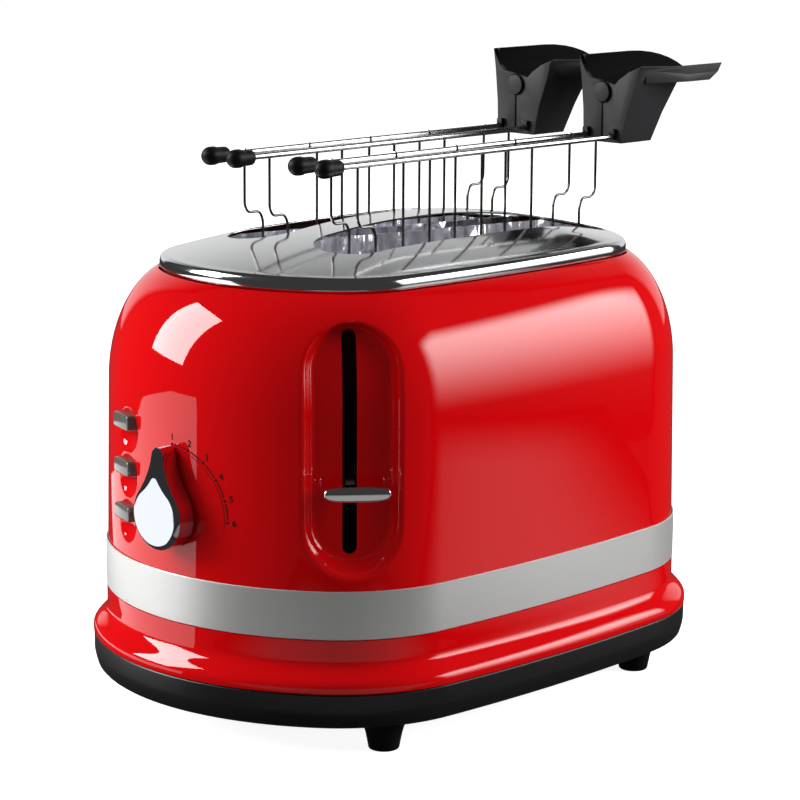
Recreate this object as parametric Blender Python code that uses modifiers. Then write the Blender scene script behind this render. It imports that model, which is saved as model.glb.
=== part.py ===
"""A two-slot toaster with a pair of sandwich tongs standing in its slots.

Metres, +Z up. Every size is set in the toaster's own axes: X across the body, Y along it with the
control end at -Y, Z up from the table, and the body's centre at X = Y = 0. One empty carries all
pieces and moves that frame along Y, so that the origin lies under the centre of the whole object.
"""

import math

import bmesh
import bpy
from mathutils import Matrix, Vector

# Fits
CLEARANCE = 0.0003
OVERRUN = 0.004

# Oval plan of the body, measured on the outside of the trim band
HALF_WIDTH = 0.0943
HALF_LENGTH = 0.1370
SIDE_RADIUS = 0.8308
END_MARGIN = 0.0144
END_RADIUS = HALF_WIDTH + END_MARGIN
CORNER_MARGIN = 0.0286
CORNER_RADIUS = HALF_WIDTH - CORNER_MARGIN
SIDE_STEPS = 3
CORNER_STEPS = 6
END_STEPS = 4

# Trim band
BAND_BOTTOM = 0.0495
BAND_TOP = 0.0700
BAND_THICKNESS = 0.0006

# Pressed steel housing
SKIN = 0.0012
WALL_INSET = BAND_THICKNESS + CLEARANCE
WALL_LEAN = 0.0012
SEAM_Z = 0.0280
FLARE = 0.0060
FLARE_STRAIGHT = 0.0019
FLARE_RISE = 0.0110
FLARE_STEPS = 5
LOWER_INSET = 0.0002
SHOULDER_Z = 0.1415
SHOULDER_HEIGHT = 0.0505
SHOULDER_REACH = 0.0315
SHOULDER_STEPS = 6
LIP_RISE = 0.0475
LIP_Z = SHOULDER_Z + LIP_RISE
LIP_DROP = 0.0019
LEDGE_WIDTH = 0.0030

# Top plate
PLATE_INSET = 0.0246
PLATE_SHEET = 0.0008
PLATE_EDGE_Z = LIP_Z - LIP_DROP + CLEARANCE
PLATE_EDGE_HEIGHT = 0.0042
PLATE_RIM_RISE = 0.0050
PLATE_RIM_Z = LIP_Z + PLATE_RIM_RISE
PLATE_ROLL = 0.0030
PLATE_CROWN = 0.0143
PLATE_ROLL_STEPS = 3
PLATE_RINGS = 6

# Bread slots
SLOT_X = 0.0263
SLOT_WIDTH = 0.0340
SLOT_FRONT_MARGIN = 0.0650
SLOT_REAR_MARGIN = 0.0340
SLOT_FRONT_Y = SLOT_FRONT_MARGIN - HALF_LENGTH
SLOT_REAR_Y = HALF_LENGTH - SLOT_REAR_MARGIN
SLOT_STEPS = 6
LINER_SHEET = 0.0006

# Base and feet
BASE_BOTTOM = 0.0125
BASE_WALL = 0.0022
BASE_FLOOR = 0.0022
BASE_EDGE_RISE = 0.0008
BASE_EDGE_INSET = 0.0024
BASE_ROUND_RISE = 0.0018
BASE_ROUND_INSET = 0.0011
BASE_REST_INSET = 0.0049
BASE_BELLY = 0.0060
BASE_LIP_RISE = 0.0017
FOOT_TOP_RADIUS = 0.0086
FOOT_BOTTOM_RADIUS = 0.0066
FOOT_EDGE_SHARE = 0.12
FOOT_SIDE_MARGIN = 0.0173
FOOT_FRONT_MARGIN = 0.0490
FOOT_REAR_MARGIN = 0.0600
FOOT_X = HALF_WIDTH - FOOT_SIDE_MARGIN
FOOT_FRONT_Y = FOOT_FRONT_MARGIN - HALF_LENGTH
FOOT_REAR_Y = HALF_LENGTH - FOOT_REAR_MARGIN

# Crumb tray
CRUMB_WIDTH = 0.0980
CRUMB_FRONT_MARGIN = 0.0080
CRUMB_FRONT_Y = SLOT_FRONT_Y + CRUMB_FRONT_MARGIN
CRUMB_HEIGHT = 0.0070
CRUMB_SHEET = 0.0010
CRUMB_REAR_GAP = 0.0020
CRUMB_TAB_WIDTH = 0.0400
CRUMB_TAB_HEIGHT = 0.0030
CRUMB_TRAVEL = 0.1900

# Lever channel pressed in the near front corner
CHANNEL_ANGLE = math.radians(-40.7)
CHANNEL_DROP = 0.0145
CHANNEL_Z = SHOULDER_Z - CHANNEL_DROP
CHANNEL_WIDTH = 0.0424
CHANNEL_HEIGHT = 0.1055
CHANNEL_SIDE_SLOPE = 0.0057
CHANNEL_FLOOR_WIDTH = CHANNEL_WIDTH - 2 * CHANNEL_SIDE_SLOPE
CHANNEL_END_SLOPE = 0.00645
CHANNEL_FLOOR_HEIGHT = CHANNEL_HEIGHT - 2 * CHANNEL_END_SLOPE
CHANNEL_DEPTH = 0.0080
CHANNEL_FLOOR_RISE = 0.0026
CHANNEL_STEPS = 6
CHANNEL_STRAIGHT_STEPS = 5
CHANNEL_TIP_HALF_WIDTH = 0.0030
CHANNEL_SHARES = (1.0, 0.94, 0.87, 0.80, 0.72, 0.36, 0.0)
SLOT_END_STEPS = 6
LEVER_SLOT_WIDTH = 0.0060
LEVER_SLOT_MARGIN = 0.0004
LEVER_SLOT_HEIGHT = CHANNEL_FLOOR_HEIGHT - 2 * LEVER_SLOT_MARGIN
LEVER_SLOT_SHIFT = 0.0008

# Lever and carriage
LEVER_DROP = 0.0152
LEVER_Z = CHANNEL_Z - LEVER_DROP
LEVER_SHIFT = 0.0019
LEVER_WIDTH = 0.0272
LEVER_HEIGHT = 0.0069
LEVER_DEPTH = 0.0070
LEVER_STAND_OFF = 0.0008
LEVER_ROUND = 0.0024
ARM_THICKNESS = 0.0036
ARM_HEIGHT = 0.0050
CARRIAGE_MARGIN = 0.0065
CARRIAGE_Y = SLOT_FRONT_Y - CARRIAGE_MARGIN
CARRIAGE_SHEET = 0.0020
CROSSBAR_DROP = 0.0573
CROSSBAR_BOTTOM = LEVER_Z - CROSSBAR_DROP
CROSSBAR_HEIGHT = 0.0140
CROSSBAR_MARGIN = 0.0057
CROSSBAR_REACH = SLOT_X + CROSSBAR_MARGIN
UPRIGHT_WIDTH = 0.0100
SHELF_RISE = 0.0120
SHELF_TOP = CROSSBAR_BOTTOM + SHELF_RISE
SHELF_SHEET = 0.0015
SHELF_WIDTH = 0.0210
SHELF_FRONT_MARGIN = 0.0080
SHELF_REAR_MARGIN = 0.0040
SHELF_FRONT_Y = SLOT_FRONT_Y + SHELF_FRONT_MARGIN
SHELF_REAR_Y = SLOT_REAR_Y - SHELF_REAR_MARGIN
WEB_THICKNESS = 0.0030
WEB_HEIGHT = 0.0095
CARRIAGE_DOWN = 0.0220
CARRIAGE_UP = 0.0580

# Guide rod and lift spring
ROD_X = 0.0120
ROD_MARGIN = 0.0075
ROD_Y = CARRIAGE_Y - ROD_MARGIN
ROD_RADIUS = 0.0025
BOSS_RADIUS = 0.0075
BOSS_HEIGHT = 0.0420
SPRING_RADIUS = 0.0052
SPRING_WIRE = 0.0006
SPRING_TURNS = 9
SPRING_POINTS_PER_TURN = 9

# End plates, heaters and bread guards
END_PLATE_SHEET = 0.0010
END_PLATE_HALF_WIDTH = 0.0540
END_PLATE_DROP = 0.0165
END_PLATE_TOP = LIP_Z - END_PLATE_DROP
FRONT_PLATE_MARGIN = 0.0025
REAR_PLATE_MARGIN = 0.0055
FRONT_PLATE_Y = SLOT_FRONT_Y - FRONT_PLATE_MARGIN
REAR_PLATE_Y = SLOT_REAR_Y + REAR_PLATE_MARGIN
SHELF_GATE_WIDTH = 0.0060
SHELF_GATE_MARGIN = 0.0040
ROD_BRACKET_WIDTH = 0.0160
HEATER_THICKNESS = 0.0012
HEATER_BOTTOM = 0.0425
HEATER_MARGIN = 0.0100
HEATER_TOP = END_PLATE_TOP - HEATER_MARGIN
HEATER_REACH = 0.0252
OUTER_HEATER_X = SLOT_X + HEATER_REACH
GUARD_MARGIN = 0.0008
GUARD_REACH = SLOT_WIDTH / 2 + GUARD_MARGIN
GUARD_RAIL_RADIUS = 0.0009
GUARD_WIRE_RADIUS = 0.0006
GUARD_LOW_Z = 0.0475
GUARD_DROP = 0.0060
GUARD_HIGH_Z = END_PLATE_TOP - GUARD_DROP
GUARD_WIRES = 7
GUARD_END_MARGIN = 0.0180

# Latch magnet, control board and cord gland
MAGNET_X = -0.0180
MAGNET_WIDTH = 0.0180
MAGNET_DEPTH = 0.0130
MAGNET_GAP = 0.0015
BOARD_MARGIN = 0.0210
BOARD_Y = BOARD_MARGIN - HALF_LENGTH
BOARD_THICKNESS = 0.0016
BOARD_LEFT_X = -0.0500
BOARD_RIGHT_X = 0.0160
BOARD_TOP = 0.1400
DIAL_CASE_RADIUS = 0.0085
DIAL_CASE_DEPTH = 0.0070
SWITCH_SIZE = 0.0060
SWITCH_DEPTH = 0.0042
GLAND_SIDE_SHARE = 0.7423
GLAND_REAR_MARGIN = 0.0470
GLAND_X = -HALF_WIDTH * GLAND_SIDE_SHARE
GLAND_Y = HALF_LENGTH - GLAND_REAR_MARGIN
GLAND_BORE_RADIUS = 0.0034
GLAND_RADIUS = 0.0056
GLAND_FLANGE_RADIUS = 0.0078
GLAND_FLANGE = 0.0014
GLAND_BELOW = 0.0020

# Browning knob
KNOB_Z = 0.0955
KNOB_RADIUS = 0.0142
KNOB_REACH = 0.0290
KNOB_TIP_RADIUS = 0.0034
KNOB_FLANK_RADIUS = 0.0350
KNOB_DEPTH = 0.0090
KNOB_GAP = 0.0005
KNOB_ROUND = 0.0016
KNOB_STEPS = 8
KNOB_FLANK_STEPS = 4
KNOB_TIP_STEPS = 3
KNOB_BORE_DEPTH = 0.0055
SHAFT_RADIUS = 0.0030

# Push buttons and the dishes that they stand in
BUTTON_X = -0.0345
BUTTON_DROP = 0.0060
BUTTON_LOW_Z = KNOB_Z - BUTTON_DROP
BUTTON_PITCH = 0.01975
BUTTON_COUNT = 3
BUTTON_WIDTH = 0.0158
BUTTON_HEIGHT = 0.0066
BUTTON_ROUND = 0.0018
BUTTON_STAND_OUT = 0.0024
BUTTON_FLANGE = 0.0014
BUTTON_TRAVEL = 0.0020
BUTTON_HOLE_CLEARANCE = 0.0004
DISH_RADIUS = 0.0092
DISH_DEPTH = 0.0025
DISH_X = -0.0340
DISH_DROP = 0.0038
DISH_STEPS = 20
DISH_RINGS = 4
DISH_BALL_SHARE = 1.5

# Sandwich tongs
RAIL_RISE = 0.0432
RAIL_Z = PLATE_RIM_Z + RAIL_RISE
RAIL_HALF_GAP = 0.00775
RAIL_RADIUS = 0.00125
RAIL_MARGIN = 0.0080
HANDLE_MARGIN = 0.0044
RAIL_FRONT_Y = SLOT_FRONT_Y - RAIL_MARGIN
HANDLE_FRONT_Y = SLOT_REAR_Y + HANDLE_MARGIN
RAIL_GRIP = 0.0130
WIRE_RADIUS = 0.0006
FOOT_RAIL_RADIUS = 0.0010
LEG_FRONT_MARGIN = 0.0223
LEG_REAR_MARGIN = 0.0193
LEG_FRONT_Y = SLOT_FRONT_Y + LEG_FRONT_MARGIN
LEG_REAR_Y = SLOT_REAR_Y - LEG_REAR_MARGIN
WIRE_COUNT = 5
WIRE_PITCH = (LEG_REAR_Y - LEG_FRONT_Y) / (WIRE_COUNT - 1)
LEG_STEP = 0.0110
LEG_BEND_DROP = 0.0230
LEG_SHELF_DROP = 0.0262
LEG_TURN_DROP = 0.0302
LEG_EASE = 0.0020
MID_RAIL_Z = 0.1350
CAP_RADIUS = 0.0040
CAP_LENGTH = 0.0132
CAP_STEPS = 5
CAP_SIDES = 14
CAP_BORE_DEPTH = 0.0085

# Tong handles: reaches and rises are taken from the pivot, depths from the front face
PIVOT_OFFSET = 0.0008
PIVOT_RISE = 0.0200
PIVOT_Z = RAIL_Z + PIVOT_RISE
HANDLE_DROP = 0.0029
HANDLE_BOTTOM = RAIL_Z - HANDLE_DROP
HANDLE_WALL = 0.0018
HANDLE_LOW_DEPTH = 0.0214
HALF_GAP = 0.0005
NEAR_LOW_REACH = 0.0115
NEAR_MID_RISE = 0.0132
NEAR_MID_REACH = 0.0142
NEAR_MID_DEPTH = 0.0263
NEAR_BEND_REACH = 0.0193
NEAR_BEND_DEPTH = 0.0306
NEAR_TOP_REACH = 0.0209
HORN_REACH = 0.0218
HORN_RISE = 0.0124
HORN_TOP = PIVOT_Z + HORN_RISE
HORN_DEPTH = 0.0040
FAR_LOW_REACH = 0.0110
FAR_TOP_REACH = 0.0143
FAR_TOP_RISE = 0.0161
FAR_TOP = PIVOT_Z + FAR_TOP_RISE
FAR_TOP_DEPTH = 0.0360
FAR_ARC_DEPTH = 0.05035
FAR_ARC_HEIGHT = 0.0270
FAR_ARC_START = math.radians(41)
FAR_ARC_STEPS = 6
NOTCH_LEFT = ((-0.0130, 0.0132), (-0.0101, 0.0085), (-0.0076, 0.0061), (-0.0035, 0.0055))
NOTCH_RIGHT = ((0.0066, 0.0034), (0.0094, 0.0060), (0.0151, 0.0098))
BAR_START = 0.0060
BAR_WIDEST = 0.0300
BAR_LENGTH = 0.0650
BAR_WIDTH = 0.0075
BAR_BOTTOM_RISE = 0.0045
BAR_BOTTOM = PIVOT_Z + BAR_BOTTOM_RISE
BAR_TOP_RISE = 0.0111
BAR_TOP = PIVOT_Z + BAR_TOP_RISE
BAR_FALL = 0.0031
BAR_SLANT = 0.0129
BAR_RAKE = 0.0062
SOCKET_HEIGHT = 0.0060
CLIP_WIDTH = 0.0030
CLIP_DEPTH = 0.0020
CLIP_HEIGHT = 0.0036
PIN_RADIUS = 0.0020
PIN_HEAD_RADIUS = 0.0046
PIN_HEAD_HEIGHT = 0.0010
PIN_TAIL = 0.0030


def clear_scene():
    for thing in list(bpy.data.objects):
        bpy.data.objects.remove(thing, do_unlink=True)


clear_scene()
PARTS = bpy.data.collections.new("toaster")
CUTTERS = bpy.data.collections.new("toaster_cutters")
for group in (PARTS, CUTTERS):
    bpy.context.scene.collection.children.link(group)

FRAME = bpy.data.objects.new("toaster_frame", None)
PARTS.objects.link(FRAME)


# Materials

def material(name, colour, roughness, metallic=0.0, alpha=1.0):
    made = bpy.data.materials.new(name)
    made.use_nodes = True
    made.diffuse_color = (*colour, alpha)
    shader = made.node_tree.nodes["Principled BSDF"]
    shader.inputs["Base Color"].default_value = (*colour, 1.0)
    shader.inputs["Roughness"].default_value = roughness
    shader.inputs["Metallic"].default_value = metallic
    shader.inputs["Alpha"].default_value = alpha
    return made


RED_ENAMEL = material("red_enamel", (0.70, 0.006, 0.010), 0.12)
BRUSHED_STEEL = material("brushed_steel", (0.55, 0.55, 0.55), 0.35, 1.0)
POLISHED_STEEL = material("polished_steel", (0.80, 0.80, 0.80), 0.08, 1.0)
CHROME = material("chrome", (0.85, 0.85, 0.86), 0.05, 1.0)
BLACK_PLASTIC = material("black_plastic", (0.015, 0.015, 0.015), 0.45)
SOFT_BLACK = material("soft_black", (0.010, 0.010, 0.010), 0.60)
BRIGHT_WIRE = material("bright_wire", (0.62, 0.62, 0.62), 0.20, 1.0)
PLATED_SHEET = material("plated_sheet", (0.60, 0.60, 0.60), 0.30, 1.0)
MICA = material("mica", (0.45, 0.36, 0.24), 0.60)
SMOKY_CLEAR = material("smoky_clear", (0.20, 0.19, 0.18), 0.15, 0.0, 0.75)
BOARD_GREEN = material("board_green", (0.02, 0.14, 0.06), 0.50)
COPPER_COIL = material("copper_coil", (0.45, 0.18, 0.08), 0.40, 1.0)


# Making and joining shapes

def add(name, mesh, group, surface=None, origin=(0.0, 0.0, 0.0)):
    """Link a mesh whose points are in the toaster's axes, with its origin at a point of them."""
    if surface:
        mesh.materials.clear()
        mesh.materials.append(surface)
    mesh.transform(Matrix.Translation(-Vector(origin)))
    made = bpy.data.objects.new(name, mesh)
    made.location = origin
    made.parent = FRAME
    group.objects.link(made)
    if group is CUTTERS:
        made.hide_render = True
        made.display_type = "WIRE"
    return made


def mesh_from(bm, name, sharp_degrees=None):
    bmesh.ops.recalc_face_normals(bm, faces=bm.faces)
    mesh = bpy.data.meshes.new(name)
    bm.to_mesh(mesh)
    bm.free()
    if sharp_degrees:
        mesh.shade_smooth()
        mesh.set_sharp_from_angle(angle=math.radians(sharp_degrees))
    return mesh


def loft(name, rings, closed_ends=True):
    """A skin through rings of equal point count, for sections that differ along the way."""
    bm = bmesh.new()
    loops = [[bm.verts.new(point) for point in ring] for ring in rings]
    for low, high in zip(loops, loops[1:]):
        for k, corner in enumerate(low):
            after = (k + 1) % len(low)
            bm.faces.new((corner, low[after], high[after], high[k]))
    if closed_ends:
        bm.faces.new(loops[0][::-1])
        bm.faces.new(loops[-1])
    return mesh_from(bm, name, 35)


def closed_loft(name, rings):
    """A skin through rings that runs from the last ring on to the first, as a hoop does."""
    bm = bmesh.new()
    bm.from_mesh(loft(name, rings + rings[:1], closed_ends=False))
    bmesh.ops.remove_doubles(bm, verts=bm.verts, dist=CLEARANCE / 100)
    return mesh_from(bm, name, 35)


def dome_loft(name, rings, start, stop):
    """A skin through rings with a point at each end."""
    bm = bmesh.new()
    bm.from_mesh(loft(name, rings, closed_ends=False))
    count = len(rings[0])
    skin = list(bm.verts)
    for rim, point in ((skin[:count], start), (skin[-count:], stop)):
        peak = bm.verts.new(point)
        for k, corner in enumerate(rim):
            bm.faces.new((corner, rim[(k + 1) % count], peak))
    return mesh_from(bm, name, 35)


def block(name, low, high):
    """A box between two corners."""
    low, high = Vector(low), Vector(high)
    bm = bmesh.new()
    size = high - low
    place = Matrix.Translation((low + high) / 2) @ Matrix.Diagonal((*size, 1))
    bmesh.ops.create_cube(bm, size=1.0, matrix=place)
    return mesh_from(bm, name)


def drum(name, start, end, start_radius, end_radius=None, steps=24):
    """A cylinder or cone between two points."""
    start, end = Vector(start), Vector(end)
    run = end - start
    bm = bmesh.new()
    turn = Vector((0, 0, 1)).rotation_difference(run).to_matrix().to_4x4()
    bmesh.ops.create_cone(
        bm, cap_ends=True, segments=steps, depth=run.length, radius1=start_radius,
        radius2=start_radius if end_radius is None else end_radius,
        matrix=Matrix.Translation((start + end) / 2) @ turn)
    return mesh_from(bm, name, 35)


def tube(name, points, radius, resolution=1):
    """A round wire along straight stretches between points."""
    curve = bpy.data.curves.new(name, "CURVE")
    curve.dimensions = "3D"
    curve.bevel_depth = radius
    curve.bevel_resolution = resolution
    curve.use_fill_caps = True
    spline = curve.splines.new("POLY")
    spline.points.add(len(points) - 1)
    for place, point in zip(spline.points, points):
        place.co = (*point, 1.0)
    path = bpy.data.objects.new(name, curve)
    bpy.context.scene.collection.objects.link(path)
    bpy.context.view_layer.update()
    mesh = bpy.data.meshes.new_from_object(path.evaluated_get(bpy.context.evaluated_depsgraph_get()))
    bpy.data.objects.remove(path)
    bm = bmesh.new()
    bm.from_mesh(mesh)
    bmesh.ops.remove_doubles(bm, verts=bm.verts, dist=radius / 100)
    bpy.data.meshes.remove(mesh)
    return mesh_from(bm, name, 50)


def combine(target, mesh, how):
    """Join a mesh to an object, or cut it out of it, with a Boolean."""
    other = add(f"{target.name}_{how.lower()}_{len(target.modifiers)}", mesh, CUTTERS)
    step = target.modifiers.new(how.lower(), "BOOLEAN")
    step.operation = how
    step.solver = "EXACT"
    step.object = other
    return other


def join(target, mesh):
    return combine(target, mesh, "UNION")


def cut(target, mesh):
    return combine(target, mesh, "DIFFERENCE")


def thicken(target, thickness):
    """Give an open skin its thickness, inwards from the face that was drawn."""
    step = target.modifiers.new("sheet", "SOLIDIFY")
    step.thickness = thickness
    step.offset = -1.0
    step.use_even_offset = True
    return step


def soften(target, width, segments=2):
    step = target.modifiers.new("rounded_edges", "BEVEL")
    step.width = width
    step.segments = segments
    step.limit_method = "ANGLE"
    step.angle_limit = math.radians(50)
    return step


# Plan curves

def corner_centre():
    """Centre of the corner arc, which runs into the side arc and the end arc without a kink."""
    side = Vector((HALF_WIDTH - SIDE_RADIUS, 0.0))
    end = Vector((0.0, HALF_LENGTH - END_RADIUS))
    side_reach = SIDE_RADIUS - CORNER_RADIUS
    end_reach = END_RADIUS - CORNER_RADIUS
    apart = (end - side).length
    along = (side_reach ** 2 - end_reach ** 2 + apart ** 2) / (2 * apart)
    aside = math.sqrt(max(side_reach ** 2 - along ** 2, 0.0))
    forward = (end - side).normalized()
    outward = Vector((-forward.y, forward.x))
    return side + forward * along + outward * aside


def arc(centre, radius, start, stop, steps):
    """Points from one angle towards another, without the last."""
    span = [start + (stop - start) * k / steps for k in range(steps)]
    return [(centre.x + radius * math.cos(a), centre.y + radius * math.sin(a)) for a in span]


def plan(grow=0.0):
    """Points round the oval plan, counterclockwise from +X, grown outwards by a distance."""
    side = Vector((HALF_WIDTH - SIDE_RADIUS, 0.0))
    end = Vector((0.0, HALF_LENGTH - END_RADIUS))
    corner = corner_centre()
    first = math.atan2(corner.y - side.y, corner.x - side.x)
    second = math.atan2(corner.y - end.y, corner.x - end.x)
    quarter = arc(side, SIDE_RADIUS + grow, 0.0, first, SIDE_STEPS)
    quarter += arc(corner, CORNER_RADIUS + grow, first, second, CORNER_STEPS)
    quarter += arc(end, END_RADIUS + grow, second, math.pi / 2, END_STEPS)
    top = (0.0, HALF_LENGTH + grow)
    half = quarter + [top] + [(-x, y) for x, y in quarter[::-1]]
    return half + [(-x, -y) for x, y in half[1:-1]]


def ring(grow, z):
    return [(x, y, z) for x, y in plan(grow)]


def oblong(width, height, steps):
    """Points round a slot shape with half-round ends, its long way along the second axis."""
    radius = width / 2
    straight = height / 2 - radius
    top = [(radius * math.cos(math.pi * k / steps), straight + radius * math.sin(math.pi * k / steps))
           for k in range(steps + 1)]
    return top + [(-u, -v) for u, v in top]


def rounded_box_outline(width, height, radius, steps=3):
    points = []
    for quarter, (sx, sy) in enumerate(((1, 1), (-1, 1), (-1, -1), (1, -1))):
        for k in range(steps + 1):
            angle = math.pi / 2 * (quarter + k / steps)
            points.append((sx * (width / 2 - radius) + radius * math.cos(angle),
                           sy * (height / 2 - radius) + radius * math.sin(angle)))
    return points


def end_wall_y(x, grow=0.0):
    """Where the control end's wall stands at a place across the body."""
    return -(HALF_LENGTH - END_RADIUS) - math.sqrt((END_RADIUS + grow) ** 2 - x ** 2)


# Housing

def wall_grow(z):
    """How far the red wall stands out from the plan at a height above the trim band."""
    lean = WALL_LEAN * (z - BAND_TOP) / (SHOULDER_Z - BAND_TOP)
    rise = max(0.0, min(1.0, (z - SHOULDER_Z) / SHOULDER_HEIGHT))
    turned = 1.0 - math.sqrt(1.0 - rise ** 2)
    return -WALL_INSET - max(0.0, lean) - SHOULDER_REACH * turned


def housing_profile():
    """Heights and growths up the outside, from the hem to the ledge that carries the top plate."""
    profile = [(SEAM_Z, FLARE)]
    for k in range(FLARE_STEPS + 1):
        share = k / FLARE_STEPS
        blend = (1 + math.cos(math.pi * share)) / 2
        profile.append((SEAM_Z + FLARE_STRAIGHT + FLARE_RISE * share,
                        (FLARE + LOWER_INSET) * blend - LOWER_INSET))
    profile.append((BAND_BOTTOM - CLEARANCE, -LOWER_INSET))
    profile.append((BAND_BOTTOM - CLEARANCE, -WALL_INSET))
    profile.append((BAND_TOP, wall_grow(BAND_TOP)))
    profile.append(((BAND_TOP + SHOULDER_Z) / 2, wall_grow((BAND_TOP + SHOULDER_Z) / 2)))
    crest = math.asin((LIP_Z - SHOULDER_Z) / SHOULDER_HEIGHT)
    for k in range(SHOULDER_STEPS + 1):
        z = SHOULDER_Z + SHOULDER_HEIGHT * math.sin(crest * k / SHOULDER_STEPS)
        profile.append((z, wall_grow(z)))
    return profile


def channel_frame():
    """Point on the corner wall at the lever channel's middle, and its outward and sideways axes."""
    outward = Vector((math.cos(CHANNEL_ANGLE), math.sin(CHANNEL_ANGLE), 0.0))
    sideways = Vector((-outward.y, outward.x, 0.0))
    centre = corner_centre()
    foot = Vector((centre.x, -centre.y, CHANNEL_Z)) + outward * (CORNER_RADIUS - WALL_INSET)
    return foot, outward, sideways


def inside_by(u, v, width, height):
    """How far a place lies inside an upright slot shape's outline, negative outside it."""
    radius = width / 2
    beyond = max(abs(v) - (height / 2 - radius), 0.0)
    return radius - math.hypot(u, beyond)


def channel_heights():
    """Levels of the channel from its middle, close together where its ends are round."""
    radius = CHANNEL_WIDTH / 2
    straight = CHANNEL_HEIGHT / 2 - radius
    ends = [straight + radius * math.sin(math.pi / 2 * k / CHANNEL_STEPS) for k in range(CHANNEL_STEPS + 1)]
    middle = [straight * (2 * k / CHANNEL_STRAIGHT_STEPS - 1) for k in range(1, CHANNEL_STRAIGHT_STEPS)]
    return [-v for v in ends[::-1]] + middle + ends


def channel_share(u, v):
    """How far a place has come from the channel's rim, 0, to its flat floor, 1."""
    from_rim = max(inside_by(u, v, CHANNEL_WIDTH, CHANNEL_HEIGHT), 0.0)
    from_floor = max(-inside_by(u, v - CHANNEL_FLOOR_RISE, CHANNEL_FLOOR_WIDTH, CHANNEL_FLOOR_HEIGHT), 0.0)
    return from_rim / (from_rim + from_floor)


def channel_solid(grow=0.0):
    """The channel as a solid: a trough that slopes from the round wall to a flat floor behind it."""
    foot, outward, sideways = channel_frame()
    radius = CHANNEL_WIDTH / 2
    shares = [-share for share in CHANNEL_SHARES] + list(CHANNEL_SHARES[-2::-1])
    rings = []
    for v in channel_heights():
        beyond = max(abs(v) - (CHANNEL_HEIGHT / 2 - radius), 0.0)
        mouth = max(math.sqrt(max(radius ** 2 - beyond ** 2, 0.0)), CHANNEL_TIP_HALF_WIDTH)
        wall = -wall_grow(CHANNEL_Z + v) - WALL_INSET
        bend = CORNER_RADIUS - WALL_INSET - wall
        section = [(-mouth - grow, wall - OVERRUN)]
        for share in shares:
            u = mouth * share
            sloped = channel_share(u, v)
            fall = (bend - math.sqrt(bend ** 2 - u ** 2)) * (1 - sloped) + CHANNEL_DEPTH * sloped
            section.append((u + grow * share, wall + fall + grow))
        section.append((mouth + grow, wall - OVERRUN))
        rings.append([foot + sideways * u - outward * w + Vector((0, 0, v)) for u, w in section])
    return loft("channel", rings)


def slot_middle():
    """Point on the corner wall in front of the lever slot, which stands a little off the middle."""
    foot, outward, sideways = channel_frame()
    return foot - sideways * LEVER_SLOT_SHIFT


def lever_slot():
    foot, outward, sideways = channel_frame()
    outline = oblong(LEVER_SLOT_WIDTH, LEVER_SLOT_HEIGHT, SLOT_END_STEPS)
    rings = []
    for depth in (CHANNEL_DEPTH / 2, CHANNEL_DEPTH + SHOULDER_REACH):
        middle = slot_middle() - outward * depth + Vector((0, 0, CHANNEL_FLOOR_RISE))
        rings.append([middle + sideways * u + Vector((0, 0, v)) for u, v in outline])
    return loft("lever_slot", rings)


def dish_frame(z):
    """Point on the end wall in the middle of a button's dish, and the wall's outward direction there."""
    spot = Vector((DISH_X, end_wall_y(DISH_X, -WALL_INSET), z - DISH_DROP))
    outward = (spot - Vector((0.0, -(HALF_LENGTH - END_RADIUS), z))).normalized()
    return spot, outward


def button_heights():
    return [BUTTON_LOW_Z + BUTTON_PITCH * k for k in range(BUTTON_COUNT)]


def inset_profile(profile, depth):
    """The same profile moved inwards along its own normals."""
    moved = []
    for k, (z, grow) in enumerate(profile):
        before, after = profile[max(k - 1, 0)], profile[min(k + 1, len(profile) - 1)]
        rise, run = after[0] - before[0], after[1] - before[1]
        length = math.hypot(rise, run)
        moved.append((z + depth * run / length, grow - depth * rise / length))
    return moved


def make_housing():
    outer = housing_profile()
    ledge = LIP_Z - LIP_DROP
    inner = [(z, grow) for z, grow in inset_profile(outer, SKIN)[1:] if z < ledge - 2 * SKIN]
    lip_grow = outer[-1][1]
    ledge_grow = lip_grow - LEDGE_WIDTH
    edge = [(ledge, lip_grow - SKIN / 2), (ledge, ledge_grow), (ledge - SKIN, ledge_grow)]
    hem = [(SEAM_Z, FLARE - SKIN)]
    rings = [ring(grow, z) for z, grow in outer + edge + inner[::-1] + hem]
    housing = add("housing", closed_loft("housing", rings), PARTS, RED_ENAMEL)

    inside = [ring(grow - SKIN / 2, z) for z, grow in housing_profile()]
    join(housing, trimmed("channel_pan", channel_solid(SKIN), inside))
    cut(housing, channel_solid())
    cut(housing, lever_slot())

    for z in button_heights():
        spot, outward = dish_frame(z)
        bed = drum("dish_bed", spot - outward * (DISH_DEPTH + SKIN), spot + outward * OVERRUN,
                   DISH_RADIUS, steps=DISH_STEPS)
        join(housing, trimmed(f"dish_bed_{z:.4f}", bed, inside))
    for z in button_heights():
        cut(housing, dish_ball(z))
        cut(housing, button_shank(z, BUTTON_HOLE_CLEARANCE, OVERRUN, button_back()))
    wall_y = end_wall_y(0.0, -WALL_INSET)
    cut(housing, drum("shaft_hole", (0, wall_y - OVERRUN, KNOB_Z), (0, wall_y + OVERRUN, KNOB_Z),
                      SHAFT_RADIUS + CLEARANCE))
    return housing


def trimmed(name, mesh, inside):
    """The part of a solid that lies within the middle of the housing's sheet."""
    whole = add(name, mesh, CUTTERS)
    keep = combine(whole, loft(f"{name}_core", inside), "INTERSECT")
    bpy.context.view_layer.update()
    kept = bpy.data.meshes.new_from_object(whole.evaluated_get(bpy.context.evaluated_depsgraph_get()))
    for helper in (whole, keep):
        bpy.data.objects.remove(helper)
    return kept


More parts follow.
